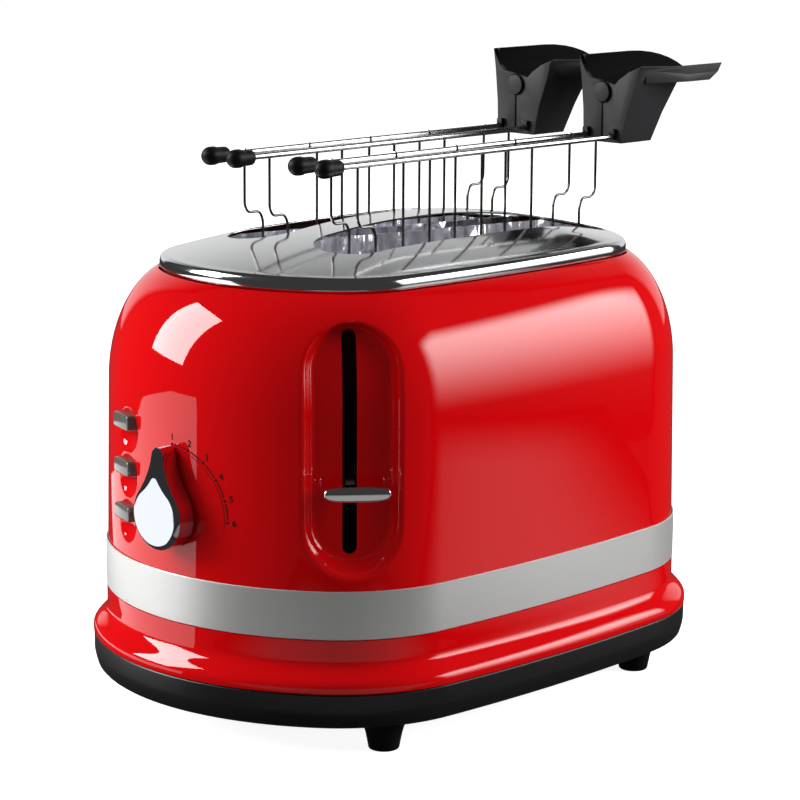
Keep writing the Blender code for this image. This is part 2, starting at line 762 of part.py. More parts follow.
def dish_ball(z):
    """The shallow ball-shaped hollow round a push button."""
    spot, outward = dish_frame(z)
    radius = (DISH_RADIUS ** 2 + DISH_DEPTH ** 2) / (2 * DISH_DEPTH)
    turn = Vector((0, 0, 1)).rotation_difference(-outward).to_matrix().to_4x4()
    centre = spot + outward * (radius - DISH_DEPTH)
    rings = []
    reach = math.asin(DISH_RADIUS / radius) * DISH_BALL_SHARE
    for k in range(DISH_RINGS, 0, -1):
        angle = reach * k / DISH_RINGS
        rings.append([centre + turn @ Vector((radius * math.sin(angle) * math.cos(a),
                                              radius * math.sin(angle) * math.sin(a),
                                              radius * math.cos(angle)))
                      for a in (2 * math.pi * n / DISH_STEPS for n in range(DISH_STEPS))])
    return loft("dish", rings)


# Browning knob and push buttons

def knob_outline():
    """A round with a raised finger, joined by hollow flanks, as arcs in X and Z."""
    tip = KNOB_REACH - KNOB_TIP_RADIUS
    low_reach = KNOB_RADIUS + KNOB_FLANK_RADIUS
    high_reach = KNOB_TIP_RADIUS + KNOB_FLANK_RADIUS
    rise = (low_reach ** 2 - high_reach ** 2 + tip ** 2) / (2 * tip)
    aside = math.sqrt(low_reach ** 2 - rise ** 2)
    low_turn = math.atan2(rise, aside)
    high_turn = math.atan2(rise - tip, aside)
    half = arc(Vector((0.0, 0.0)), KNOB_RADIUS, -math.pi / 2, low_turn, KNOB_STEPS)
    half += arc(Vector((aside, rise)), KNOB_FLANK_RADIUS, math.pi + low_turn, math.pi + high_turn,
                KNOB_FLANK_STEPS)
    half += arc(Vector((0.0, tip)), KNOB_TIP_RADIUS, high_turn, math.pi / 2, KNOB_TIP_STEPS)
    half.append((0.0, KNOB_REACH))
    return half + [(-x, y) for x, y in half[-2:0:-1]]


def upright_ring(outline, y, z):
    return [(u, y, z + v) for u, v in outline]


def make_knob():
    back = end_wall_y(0.0, -WALL_INSET) - KNOB_GAP
    face = back - KNOB_DEPTH
    outline = knob_outline()
    knob = add("browning_knob", loft("knob", [upright_ring(outline, back, KNOB_Z),
                                              upright_ring(outline, face, KNOB_Z)]),
               PARTS, CHROME, (0.0, face, KNOB_Z))
    soften(knob, KNOB_ROUND)
    cut(knob, drum("bore", (0, back + OVERRUN, KNOB_Z), (0, back - KNOB_BORE_DEPTH, KNOB_Z),
                   SHAFT_RADIUS + CLEARANCE))
    case_front = BOARD_Y - BOARD_THICKNESS / 2 - DIAL_CASE_DEPTH
    add("knob_shaft",
        drum("shaft", (0, case_front - CLEARANCE, KNOB_Z), (0, back - KNOB_BORE_DEPTH + CLEARANCE, KNOB_Z),
             SHAFT_RADIUS, steps=20), PARTS, PLATED_SHEET, (0.0, back, KNOB_Z))


def button_axes():
    """Outward and sideways directions of a button, which stands square to the curved end wall."""
    middle = Vector((0.0, -(HALF_LENGTH - END_RADIUS), 0.0))
    spot = Vector((BUTTON_X, end_wall_y(BUTTON_X, -WALL_INSET), 0.0))
    outward = (spot - middle).normalized()
    return spot, outward, Vector((-outward.y, outward.x, 0.0))


def button_rings(z, levels):
    spot, outward, sideways = button_axes()
    rings = []
    for stand, width, height, corner in levels:
        outline = rounded_box_outline(width, height, corner)
        rings.append([spot + outward * stand + sideways * u + Vector((0, 0, z + v)) for u, v in outline])
    return rings


def button_shank(z, grow, front_stand, back_stand):
    size = (BUTTON_WIDTH + 2 * grow, BUTTON_HEIGHT + 2 * grow, BUTTON_ROUND + grow)
    return loft("button", button_rings(z, [(front_stand, *size), (back_stand, *size)]))


def button_back():
    return -DISH_DEPTH - SKIN - CLEARANCE - BUTTON_FLANGE


def make_buttons():
    spot, outward, sideways = button_axes()
    flange = (BUTTON_WIDTH + 2 * BUTTON_FLANGE, BUTTON_HEIGHT + 2 * BUTTON_FLANGE, BUTTON_ROUND)
    for k, z in enumerate(button_heights()):
        face = spot + outward * BUTTON_STAND_OUT
        button = add(f"push_button_{k + 1}", button_shank(z, 0.0, BUTTON_STAND_OUT, button_back()),
                     PARTS, SMOKY_CLEAR, (face.x, face.y, z))
        soften(button, BUTTON_ROUND / 3)
        join(button, loft("flange", button_rings(z, [(button_back() + BUTTON_FLANGE, *flange),
                                                     (button_back(), *flange)])))


# Trim band, base, feet and crumb tray

def make_band():
    rings = [ring(0.0, BAND_BOTTOM), ring(0.0, BAND_TOP)]
    band = add("trim_band", loft("band", rings, closed_ends=False), PARTS, BRUSHED_STEEL)
    thicken(band, BAND_THICKNESS)


def base_floor_z():
    return BASE_BOTTOM + BASE_FLOOR


def base_outer():
    return FLARE - CLEARANCE


def base_top():
    return SEAM_Z - CLEARANCE


def make_base():
    outer = base_outer()
    lip_outer = FLARE - SKIN - 2 * CLEARANCE
    lip_inner = lip_outer - BASE_WALL
    rings = [
        ring(outer - BASE_REST_INSET, BASE_BOTTOM),
        ring(outer - BASE_EDGE_INSET, BASE_BOTTOM + BASE_EDGE_RISE),
        ring(outer - BASE_ROUND_INSET, BASE_BOTTOM + BASE_EDGE_RISE + BASE_ROUND_RISE),
        ring(outer, BASE_BOTTOM + BASE_EDGE_RISE + BASE_ROUND_RISE + BASE_BELLY),
        ring(outer, base_top()),
        ring(lip_outer, base_top()),
        ring(lip_outer, base_top() + BASE_LIP_RISE),
        ring(lip_inner, base_top() + BASE_LIP_RISE),
        ring(lip_inner, base_floor_z()),
    ]
    base = add("base", loft("base", rings), PARTS, BLACK_PLASTIC)
    floor = base_floor_z()
    half = CRUMB_WIDTH / 2 + 2 * CLEARANCE
    cut(base, block("crumb_gate", (-half, HALF_LENGTH / 2, floor + CLEARANCE),
                    (half, HALF_LENGTH + OVERRUN * 3, floor + CRUMB_HEIGHT + 3 * CLEARANCE)))
    cut(base, drum("gland_hole", (GLAND_X, GLAND_Y, BASE_BOTTOM - OVERRUN),
                   (GLAND_X, GLAND_Y, floor + OVERRUN), GLAND_RADIUS + CLEARANCE))


def make_feet():
    places = [("front_left", -FOOT_X, FOOT_FRONT_Y), ("front_right", FOOT_X, FOOT_FRONT_Y),
              ("rear_left", -FOOT_X, FOOT_REAR_Y), ("rear_right", FOOT_X, FOOT_REAR_Y)]
    height = BASE_BOTTOM - CLEARANCE
    for name, x, y in places:
        foot = drum("foot", (x, y, 0), (x, y, height), FOOT_BOTTOM_RADIUS, FOOT_TOP_RADIUS, 20)
        made = add(f"foot_{name}", foot, PARTS, SOFT_BLACK, (x, y, height))
        soften(made, FOOT_BOTTOM_RADIUS * FOOT_EDGE_SHARE)


def make_crumb_tray():
    low = base_floor_z() + 2 * CLEARANCE
    half = CRUMB_WIDTH / 2
    corner_y = -end_wall_y(half, FLARE)
    rear = corner_y - CRUMB_REAR_GAP
    tray = add("crumb_tray", block("tray", (-half, CRUMB_FRONT_Y, low), (half, rear, low + CRUMB_HEIGHT)),
               PARTS, PLATED_SHEET, (0.0, rear, low))
    cut(tray, block("tray_hollow", (-half + CRUMB_SHEET, CRUMB_FRONT_Y + CRUMB_SHEET, low + CRUMB_SHEET),
                    (half - CRUMB_SHEET, rear - 2 * CRUMB_SHEET, low + CRUMB_HEIGHT + OVERRUN)))
    tab_end = HALF_LENGTH + FLARE - CLEARANCE
    join(tray, block("tray_tab", (-CRUMB_TAB_WIDTH / 2, rear - CRUMB_SHEET, low + CRUMB_SHEET),
                     (CRUMB_TAB_WIDTH / 2, tab_end, low + CRUMB_SHEET + CRUMB_TAB_HEIGHT)))


def make_gland():
    floor = base_floor_z()
    top = floor + CLEARANCE + GLAND_FLANGE
    bottom = BASE_BOTTOM - GLAND_BELOW
    bush = drum("gland", (GLAND_X, GLAND_Y, bottom), (GLAND_X, GLAND_Y, top), GLAND_RADIUS)
    gland = add("cord_gland", bush, PARTS, SOFT_BLACK, (GLAND_X, GLAND_Y, floor))
    join(gland, drum("gland_flange", (GLAND_X, GLAND_Y, floor + CLEARANCE), (GLAND_X, GLAND_Y, top),
                     GLAND_FLANGE_RADIUS))
    cut(gland, drum("gland_bore", (GLAND_X, GLAND_Y, bottom - OVERRUN), (GLAND_X, GLAND_Y, top + OVERRUN),
                    GLAND_BORE_RADIUS))


# Top plate and slot liners

def plate_inset():
    return PLATE_INSET + PLATE_ROLL


def reach_share(x, y):
    """How far a place is from the middle of the plate, as a share of the way to its edge."""
    outline = plan(-PLATE_INSET)
    best = 0.0
    for (ax, ay), (bx, by) in zip(outline, outline[1:] + outline[:1]):
        across = (bx - ax) * y - (by - ay) * x
        if abs(across) < 1e-12:
            continue
        scale = ((bx - ax) * ay - (by - ay) * ax) / across
        if scale <= 0:
            continue
        hit_x, hit_y = x * scale, y * scale
        length_squared = (bx - ax) ** 2 + (by - ay) ** 2
        along = ((hit_x - ax) * (bx - ax) + (hit_y - ay) * (by - ay)) / length_squared
        if -1e-6 <= along <= 1 + 1e-6:
            best = max(best, 1 / scale)
    return best


def plate_z(x, y):
    """Height of the crowned plate, a parabola from its middle to its edge."""
    return PLATE_RIM_Z + PLATE_CROWN * (1 - reach_share(x, y) ** 2)


def slot_outline(grow=0.0):
    """Points round a bread slot, from the middle of the slot."""
    length = SLOT_REAR_Y - SLOT_FRONT_Y + 2 * grow
    middle = (SLOT_REAR_Y + SLOT_FRONT_Y) / 2
    return [(u, middle + v) for u, v in oblong(SLOT_WIDTH + 2 * grow, length, SLOT_STEPS)]


def make_top_plate():
    edge = plan(-plate_inset())
    crown = []
    for k in range(1, PLATE_RINGS + 1):
        share = k / PLATE_RINGS
        crown.append([(x * share, y * share, plate_z(x * share, y * share)) for x, y in edge])
    turn_z = PLATE_EDGE_Z + PLATE_EDGE_HEIGHT
    roll = []
    for k in range(1, PLATE_ROLL_STEPS + 1):
        angle = math.pi / 2 * k / PLATE_ROLL_STEPS
        roll.append((-plate_inset() + PLATE_ROLL * math.sin(angle),
                     turn_z + (PLATE_RIM_Z - turn_z) * math.cos(angle)))
    outside = [ring(grow, z) for z, grow in ((z, grow) for grow, z in roll)]
    outside.append(ring(-PLATE_INSET, PLATE_EDGE_Z))
    inside = [ring(-PLATE_INSET - PLATE_SHEET, PLATE_EDGE_Z), ring(-PLATE_INSET - PLATE_SHEET, turn_z)]
    under = [[(x, y, z - PLATE_SHEET) for x, y, z in level] for level in crown[::-1]]
    peak = PLATE_RIM_Z + PLATE_CROWN
    mesh = dome_loft("top_plate", crown + outside + inside + under, (0, 0, peak), (0, 0, peak - PLATE_SHEET))
    plate = add("top_plate", mesh, PARTS, POLISHED_STEEL)
    for x in (-SLOT_X, SLOT_X):
        low = [(x + u, y, PLATE_EDGE_Z - OVERRUN) for u, y in slot_outline()]
        high = [(x + u, y, peak + OVERRUN) for u, y in slot_outline()]
        cut(plate, loft("slot", [low, high]))


def make_liners():
    for side, x in (("far", -SLOT_X), ("near", SLOT_X)):
        bottom = END_PLATE_TOP + CLEARANCE
        under = PLATE_SHEET + CLEARANCE
        outer = [(x + u, y) for u, y in slot_outline(LINER_SHEET)]
        inner = [(x + u, y) for u, y in slot_outline()]
        rings = [
            [(px, py, bottom) for px, py in outer],
            [(px, py, plate_z(px, py) - under) for px, py in outer],
            [(px, py, plate_z(qx, qy) - under) for (px, py), (qx, qy) in zip(inner, outer)],
            [(px, py, bottom) for px, py in inner],
        ]
        add(f"slot_liner_{side}", closed_loft("liner", rings), PARTS, PLATED_SHEET)


# Chassis inside the housing

def make_end_plates():
    floor = base_floor_z() + CLEARANCE
    for name, y in (("front_end_plate", FRONT_PLATE_Y), ("rear_end_plate", REAR_PLATE_Y)):
        half = END_PLATE_SHEET / 2
        low = floor + CRUMB_HEIGHT + 2 * CLEARANCE
        plate = add(name, block(name, (-END_PLATE_HALF_WIDTH, y - half, low),
                                (END_PLATE_HALF_WIDTH, y + half, END_PLATE_TOP)),
                    PARTS, PLATED_SHEET)
        for side in (-1, 1):
            leg_inner = CRUMB_WIDTH / 2 + 2 * CLEARANCE
            leg = sorted((side * leg_inner, side * END_PLATE_HALF_WIDTH))
            join(plate, block("leg", (leg[0], y - half, floor), (leg[1], y + half, low + OVERRUN)))
        if y < 0:
            for x in (-SLOT_X, SLOT_X):
                low_z = SHELF_TOP - WEB_HEIGHT - CARRIAGE_DOWN - SHELF_GATE_MARGIN
                high_z = SHELF_TOP + CARRIAGE_UP + SHELF_GATE_MARGIN
                cut(plate, block("gate", (x - SHELF_GATE_WIDTH / 2, y - OVERRUN, low_z),
                                 (x + SHELF_GATE_WIDTH / 2, y + OVERRUN, high_z)))
            join(plate, block("rod_bracket",
                              (ROD_X - ROD_BRACKET_WIDTH / 2, ROD_Y - ROD_BRACKET_WIDTH / 2,
                               END_PLATE_TOP - END_PLATE_SHEET),
                              (ROD_X + ROD_BRACKET_WIDTH / 2, y, END_PLATE_TOP)))


def inner_front_y():
    return FRONT_PLATE_Y + END_PLATE_SHEET / 2 + CLEARANCE


def inner_rear_y():
    return REAR_PLATE_Y - END_PLATE_SHEET / 2 - CLEARANCE


def make_heaters():
    for name, x in (("heater_far", -OUTER_HEATER_X), ("heater_middle", 0.0), ("heater_near", OUTER_HEATER_X)):
        half = HEATER_THICKNESS / 2
        low = (x - half, inner_front_y(), HEATER_BOTTOM)
        high = (x + half, inner_rear_y(), HEATER_TOP)
        add(name, block(name, low, high), PARTS, MICA)


def make_guards():
    for slot, slot_x in (("far", -SLOT_X), ("near", SLOT_X)):
        for side, sign in (("left", -1), ("right", 1)):
            x = slot_x + sign * GUARD_REACH
            rails = [tube("rail", [(x, inner_front_y(), z), (x, inner_rear_y(), z)], GUARD_RAIL_RADIUS)
                     for z in (GUARD_LOW_Z, GUARD_HIGH_Z)]
            guard = add(f"bread_guard_{slot}_{side}", rails[0], PARTS, BRIGHT_WIRE)
            join(guard, rails[1])
            first = inner_front_y() + GUARD_END_MARGIN
            last = inner_rear_y() - GUARD_END_MARGIN
            for k in range(GUARD_WIRES):
                y = first + (last - first) * k / (GUARD_WIRES - 1)
                join(guard, tube("wire", [(x, y, GUARD_LOW_Z), (x, y, GUARD_HIGH_Z)], GUARD_WIRE_RADIUS))


def make_guide_rod():
    floor = base_floor_z() + CLEARANCE
    top = END_PLATE_TOP - END_PLATE_SHEET - CLEARANCE
    add("guide_rod", drum("rod", (ROD_X, ROD_Y, floor), (ROD_X, ROD_Y, top), ROD_RADIUS, steps=20),
        PARTS, BRIGHT_WIRE, (ROD_X, ROD_Y, floor))


def spring_points():
    low = base_floor_z() + CLEARANCE + SPRING_WIRE
    high = CROSSBAR_BOTTOM - CLEARANCE - SPRING_WIRE
    count = SPRING_TURNS * SPRING_POINTS_PER_TURN
    return [Vector((ROD_X + SPRING_RADIUS * math.cos(2 * math.pi * k / SPRING_POINTS_PER_TURN),
                    ROD_Y + SPRING_RADIUS * math.sin(2 * math.pi * k / SPRING_POINTS_PER_TURN),
                    low + (high - low) * k / count)) for k in range(count + 1)]


def make_spring():
    points = spring_points()
    gap = min((points[k] - points[k + SPRING_POINTS_PER_TURN]).length
              for k in range(len(points) - SPRING_POINTS_PER_TURN)) - 2 * SPRING_WIRE
    print(f"lift spring: least gap between turns {gap * 1000:.2f} mm")
    add("lift_spring", tube("spring", points, SPRING_WIRE), PARTS, BRIGHT_WIRE)


def make_magnet():
    floor = base_floor_z() + CLEARANCE
    top = CROSSBAR_BOTTOM - CARRIAGE_DOWN - MAGNET_GAP
    half_width, half_depth = MAGNET_WIDTH / 2, MAGNET_DEPTH / 2
    magnet = add("latch_magnet", block("magnet", (MAGNET_X - half_width, ROD_Y - half_depth, floor),
                                       (MAGNET_X + half_width, ROD_Y + half_depth, floor + SKIN * 2)),
                 PARTS, COPPER_COIL)
    join(magnet, drum("coil", (MAGNET_X, ROD_Y, floor + SKIN), (MAGNET_X, ROD_Y, top), half_depth))


def make_board():
    floor = base_floor_z() + CLEARANCE
    half = BOARD_THICKNESS / 2
    board = add("control_board", block("board", (BOARD_LEFT_X, BOARD_Y - half, floor),
                                       (BOARD_RIGHT_X, BOARD_Y + half, BOARD_TOP)), PARTS, BOARD_GREEN)
    join(board, drum("dial_case", (0, BOARD_Y, KNOB_Z), (0, BOARD_Y - half - DIAL_CASE_DEPTH, KNOB_Z),
                     DIAL_CASE_RADIUS))
    for z in button_heights():
        reach = SWITCH_SIZE / 2
        join(board, block("switch", (BUTTON_X - reach, BOARD_Y - half - SWITCH_DEPTH, z - reach),
                          (BUTTON_X + reach, BOARD_Y, z + reach)))


# Carriage and lever

def make_carriage():
    """The bread lift: a crossbar on the guide rod, a shelf in each slot and an arm to the lever."""
    foot, outward, sideways = channel_frame()
    foot = slot_middle()
    inner_reach = (foot.y - CARRIAGE_Y) / outward.y
    root = foot - outward * inner_reach
    half = CARRIAGE_SHEET / 2
    near_x = root.x + UPRIGHT_WIDTH / 4
    top = CROSSBAR_BOTTOM + CROSSBAR_HEIGHT
    carriage = add("carriage", block("crossbar", (-CROSSBAR_REACH, CARRIAGE_Y - half, CROSSBAR_BOTTOM),
                                     (CROSSBAR_REACH, CARRIAGE_Y + half, top)), PARTS, PLATED_SHEET,
                   (ROD_X, ROD_Y, CROSSBAR_BOTTOM))
    thinner = half - CLEARANCE
    join(carriage, block("crossbar_end", (ROD_X, CARRIAGE_Y - thinner, CROSSBAR_BOTTOM + CLEARANCE),
                         (near_x, CARRIAGE_Y + thinner, top - CLEARANCE)))
    thinnest = thinner - CLEARANCE
    arm_top = LEVER_Z + ARM_HEIGHT / 2
    join(carriage, block("upright",
                         (near_x - UPRIGHT_WIDTH, CARRIAGE_Y - thinnest, CROSSBAR_BOTTOM + 2 * CLEARANCE),
                         (near_x - CLEARANCE, CARRIAGE_Y + thinnest, arm_top - CLEARANCE)))
    arm_end = foot + outward * (LEVER_STAND_OFF + LEVER_DEPTH / 2)
    start = root - outward * half
    arm = []
    for spot in (start, arm_end):
        for along, up in ((-1, -1), (1, -1), (1, 1), (-1, 1)):
            arm.append(Vector((spot.x, spot.y, LEVER_Z)) + sideways * (along * ARM_THICKNESS / 2)
                       + Vector((0, 0, up * ARM_HEIGHT / 2)))
    join(carriage, loft("arm", [arm[:4], arm[4:]]))
    join(carriage, drum("guide_boss", (ROD_X, ROD_Y, CROSSBAR_BOTTOM + CLEARANCE),
                        (ROD_X, ROD_Y, CROSSBAR_BOTTOM + BOSS_HEIGHT), BOSS_RADIUS))
    for x in (-SLOT_X, SLOT_X):
        join(carriage, block("web", (x - WEB_THICKNESS / 2, CARRIAGE_Y, SHELF_TOP - WEB_HEIGHT),
                             (x + WEB_THICKNESS / 2, SHELF_REAR_Y - CLEARANCE,
                              SHELF_TOP - SHELF_SHEET / 2)))
        join(carriage, block("shelf", (x - SHELF_WIDTH / 2, SHELF_FRONT_Y, SHELF_TOP - SHELF_SHEET),
                             (x + SHELF_WIDTH / 2, SHELF_REAR_Y, SHELF_TOP)))
    cut(carriage, drum("guide_bore", (ROD_X, ROD_Y, CROSSBAR_BOTTOM - OVERRUN),
                       (ROD_X, ROD_Y, CROSSBAR_BOTTOM + BOSS_HEIGHT + OVERRUN), ROD_RADIUS + CLEARANCE))


def make_lever():
    foot, outward, sideways = channel_frame()
    foot = slot_middle()
    middle = foot + sideways * LEVER_SHIFT
    outline = rounded_box_outline(LEVER_WIDTH, LEVER_HEIGHT, LEVER_ROUND)
    rings = []
    for depth in (LEVER_STAND_OFF, LEVER_STAND_OFF + LEVER_DEPTH):
        spot = middle + outward * depth
        rings.append([Vector((spot.x, spot.y, LEVER_Z + v)) + sideways * u for u, v in outline])
    spot = middle + outward * LEVER_STAND_OFF
    lever = add("lever_paddle", loft("paddle", rings), PARTS, CHROME, (spot.x, spot.y, LEVER_Z))
    soften(lever, LEVER_ROUND / 2)
    pocket = []
    for depth in (LEVER_STAND_OFF - OVERRUN, LEVER_STAND_OFF + LEVER_DEPTH / 2 + CLEARANCE):
        spot = foot + outward * depth
        for along, up in ((-1, -1), (1, -1), (1, 1), (-1, 1)):
            pocket.append(Vector((spot.x, spot.y, LEVER_Z))
                          + sideways * (along * (ARM_THICKNESS / 2 + CLEARANCE))
                          + Vector((0, 0, up * (ARM_HEIGHT / 2 + CLEARANCE))))
    cut(lever, loft("arm_pocket", [pocket[:4], pocket[4:]]))


# Sandwich tongs

def leg_path(x, y, outward):
    """An end leg, which steps in towards the middle of the grid just below the rail."""
    bend, shelf, turn = (RAIL_Z - drop for drop in (LEG_BEND_DROP, LEG_SHELF_DROP, LEG_TURN_DROP))
    return [(x, y + outward * LEG_STEP, RAIL_Z), (x, y + outward * LEG_STEP, bend),
            (x, y + outward * (LEG_STEP - LEG_EASE), shelf), (x, y + outward * LEG_EASE, shelf),
            (x, y, turn), (x, y, foot_rail_z())]


def foot_rail_z():
    return SHELF_TOP + CLEARANCE + FOOT_RAIL_RADIUS


def make_grid(tongs, side, sign, centre_x):
    x = centre_x + sign * RAIL_HALF_GAP
    pivot = (centre_x + PIVOT_OFFSET, HANDLE_FRONT_Y, PIVOT_Z)
    ends = (RAIL_FRONT_Y, HANDLE_FRONT_Y + RAIL_GRIP)
    grid = add(f"{tongs}_grid_{side}", tube("rail", [(x, y, RAIL_Z) for y in ends], RAIL_RADIUS, 2),
               PARTS, BRIGHT_WIRE, pivot)
    join(grid, tube("leg", leg_path(x, LEG_FRONT_Y, -1), WIRE_RADIUS))
    join(grid, tube("leg", leg_path(x, LEG_REAR_Y, 1), WIRE_RADIUS))
    for k in range(1, WIRE_COUNT - 1):
        y = LEG_FRONT_Y + WIRE_PITCH * k
        join(grid, tube("wire", [(x, y, RAIL_Z), (x, y, foot_rail_z())], WIRE_RADIUS))
    for z in (foot_rail_z(), MID_RAIL_Z):
        join(grid, tube("cross_rail", [(x, LEG_FRONT_Y - LEG_EASE, z), (x, LEG_REAR_Y + LEG_EASE, z)],
                        FOOT_RAIL_RADIUS))


def make_cap(tongs, side, sign, centre_x):
    """A moulded sleeve with a domed end, pushed on the rail's free end."""
    x = centre_x + sign * RAIL_HALF_GAP
    tip = RAIL_FRONT_Y + CAP_BORE_DEPTH - CAP_LENGTH
    levels = []
    for k in range(1, CAP_STEPS + 1):
        angle = math.pi / 2 * k / CAP_STEPS
        levels.append((tip + CAP_RADIUS * (1 - math.cos(angle)), CAP_RADIUS * math.sin(angle)))
    levels.append((tip + CAP_LENGTH, CAP_RADIUS))
    turns = [2 * math.pi * n / CAP_SIDES for n in range(CAP_SIDES)]
    cap = loft("cap", [[(x + r * math.cos(turn), y, RAIL_Z + r * math.sin(turn)) for turn in turns]
                       for y, r in levels])
    made = add(f"{tongs}_cap_{side}", cap, PARTS, SOFT_BLACK,
               (centre_x + PIVOT_OFFSET, HANDLE_FRONT_Y, PIVOT_Z))
    cut(made, drum("cap_bore", (x, RAIL_FRONT_Y - CLEARANCE, RAIL_Z), (x, tip + CAP_LENGTH + OVERRUN, RAIL_Z),
                   RAIL_RADIUS + CLEARANCE, steps=12))


def near_levels():
    """Height, side reach and rear reach of the near half, which ends in a horn at the front."""
    return (
        (HANDLE_BOTTOM, NEAR_LOW_REACH, HANDLE_LOW_DEPTH),
        (HANDLE_BOTTOM + NEAR_MID_RISE, NEAR_MID_REACH, NEAR_MID_DEPTH),
        (BAR_BOTTOM, NEAR_BEND_REACH, NEAR_BEND_DEPTH),
        (BAR_TOP, NEAR_TOP_REACH, NEAR_BEND_DEPTH),
        (HORN_TOP, HORN_REACH, HORN_DEPTH),
    )


def far_reach(z):
    """Side reach of the far half, which widens more and more towards its top."""
    share = (z - HANDLE_BOTTOM) / (FAR_TOP - HANDLE_BOTTOM)
    return FAR_LOW_REACH + (FAR_TOP_REACH - FAR_LOW_REACH) * share ** 2


def far_rear_depth():
    return FAR_TOP_DEPTH + FAR_ARC_DEPTH * math.cos(FAR_ARC_START)


def far_levels():
    """Height, side reach and rear reach of the far half, a taller wall with a rounded rear corner."""
    arc_bottom = FAR_TOP - FAR_ARC_HEIGHT
    bend = arc_bottom + FAR_ARC_HEIGHT * math.sin(FAR_ARC_START)
    middle = (HANDLE_BOTTOM + bend) / 2
    levels = [(HANDLE_BOTTOM, FAR_LOW_REACH, HANDLE_LOW_DEPTH),
              (middle, far_reach(middle), (HANDLE_LOW_DEPTH + far_rear_depth()) / 2)]
    for k in range(FAR_ARC_STEPS + 1):
        angle = FAR_ARC_START + (math.pi / 2 - FAR_ARC_START) * k / FAR_ARC_STEPS
        z = arc_bottom + FAR_ARC_HEIGHT * math.sin(angle)
        levels.append((z, far_reach(z), FAR_TOP_DEPTH + FAR_ARC_DEPTH * math.cos(angle)))
    return levels


def half_ring(pivot_x, sign, z, reach, depth):
    """A half's plan at a height: a front wall from the slit outwards and a side wall running back."""
    front, wall = HANDLE_FRONT_Y, HANDLE_WALL
    rear = front + depth
    corners = [(HALF_GAP, front), (reach, front), (reach, rear), (reach - wall, rear),
               (reach - wall, front + wall), (HALF_GAP, front + wall)]
    return [(pivot_x + sign * u, y, z) for u, y in corners]


def make_handle(tongs, side, sign, centre_x):
    pivot_x = centre_x + PIVOT_OFFSET
    levels = near_levels() if sign > 0 else far_levels()
    handle = add(f"{tongs}_handle_{side}",
                 loft("handle", [half_ring(pivot_x, sign, *level) for level in levels]),
                 PARTS, BLACK_PLASTIC, (pivot_x, HANDLE_FRONT_Y, PIVOT_Z))
    plate_back = HANDLE_FRONT_Y + HANDLE_WALL
    cut(handle, notch(pivot_x, HANDLE_FRONT_Y - OVERRUN, plate_back + CLEARANCE))
    rail_x = centre_x + sign * RAIL_HALF_GAP
    rail_end = HANDLE_FRONT_Y + RAIL_GRIP
    low_x, high_x = sorted((pivot_x + sign * HALF_GAP, pivot_x + sign * (FAR_LOW_REACH - CLEARANCE)))
    join(handle, block("socket", (low_x, HANDLE_FRONT_Y + HANDLE_WALL / 2, HANDLE_BOTTOM),
                       (high_x, rail_end + HANDLE_WALL, HANDLE_BOTTOM + SOCKET_HEIGHT)))
    join(handle, block("clip", (rail_x - CLIP_WIDTH / 2, HANDLE_FRONT_Y - CLIP_DEPTH, RAIL_Z),
                       (rail_x + CLIP_WIDTH / 2, HANDLE_FRONT_Y + HANDLE_WALL / 2, RAIL_Z + CLIP_HEIGHT)))
    cut(handle, drum("rail_bore", (rail_x, HANDLE_FRONT_Y - OVERRUN, RAIL_Z),
                     (rail_x, rail_end + CLEARANCE, RAIL_Z), RAIL_RADIUS + CLEARANCE, steps=12))
    cut(handle, drum("pin_hole", (pivot_x, HANDLE_FRONT_Y - OVERRUN, PIVOT_Z),
                     (pivot_x, plate_back + OVERRUN, PIVOT_Z), PIN_RADIUS + CLEARANCE, steps=16))
    if sign > 0:
        make_bar(handle, pivot_x)


def notch(pivot_x, start_y, end_y):
    """The scooped gap above the pivot between the two halves, seen along the pivot."""
    top = FAR_TOP + OVERRUN
    scoop = [(u, PIVOT_Z + rise) for u, rise in NOTCH_LEFT + NOTCH_RIGHT]
    outline = [(-FAR_TOP_REACH, top), (-FAR_TOP_REACH, FAR_TOP), *scoop, (HORN_REACH, HORN_TOP),
               (HORN_REACH, top)]
    return loft("notch", [[(pivot_x + u, y, v) for u, v in outline] for y in (start_y, end_y)])


def make_bar(handle, pivot_x):
    """A grip that widens out of the near half's wall and runs back beyond it, its end cut at a slant."""
    inner = NEAR_BEND_REACH - HANDLE_WALL / 2
    stations = ((BAR_START, HANDLE_WALL, 0.0, 0.0), (BAR_WIDEST, BAR_WIDTH, 0.0, 0.0),
                (BAR_LENGTH, BAR_WIDTH, BAR_SLANT, BAR_RAKE))
    rings = []
    for depth, width, slant, rake in stations:
        ridge = BAR_TOP - BAR_FALL * width / BAR_WIDTH
        inner_rake = rake * (BAR_TOP - BAR_BOTTOM) / (ridge - BAR_BOTTOM)
        section = [(0.0, inner_rake, BAR_BOTTOM), (width, slant + rake, BAR_BOTTOM), (width, slant, ridge),
                   (0.0, 0.0, BAR_TOP)]
        rings.append([(pivot_x + inner + u, HANDLE_FRONT_Y + depth - back, z) for u, back, z in section])
    join(handle, loft("bar", rings))


def make_pin(tongs, centre_x):
    """The pivot pin between both halves, with a flat round head in front."""
    pivot_x = centre_x + PIVOT_OFFSET
    head_back = HANDLE_FRONT_Y - CLEARANCE
    tail = HANDLE_FRONT_Y + HANDLE_WALL + PIN_TAIL
    pin = add(f"{tongs}_pivot_pin",
              drum("pin", (pivot_x, head_back - PIN_HEAD_HEIGHT / 2, PIVOT_Z), (pivot_x, tail, PIVOT_Z),
                   PIN_RADIUS, steps=16), PARTS, BLACK_PLASTIC, (pivot_x, HANDLE_FRONT_Y, PIVOT_Z))
    join(pin, drum("pin_head", (pivot_x, head_back - PIN_HEAD_HEIGHT, PIVOT_Z), (pivot_x, head_back, PIVOT_Z),
                   PIN_HEAD_RADIUS, steps=20))


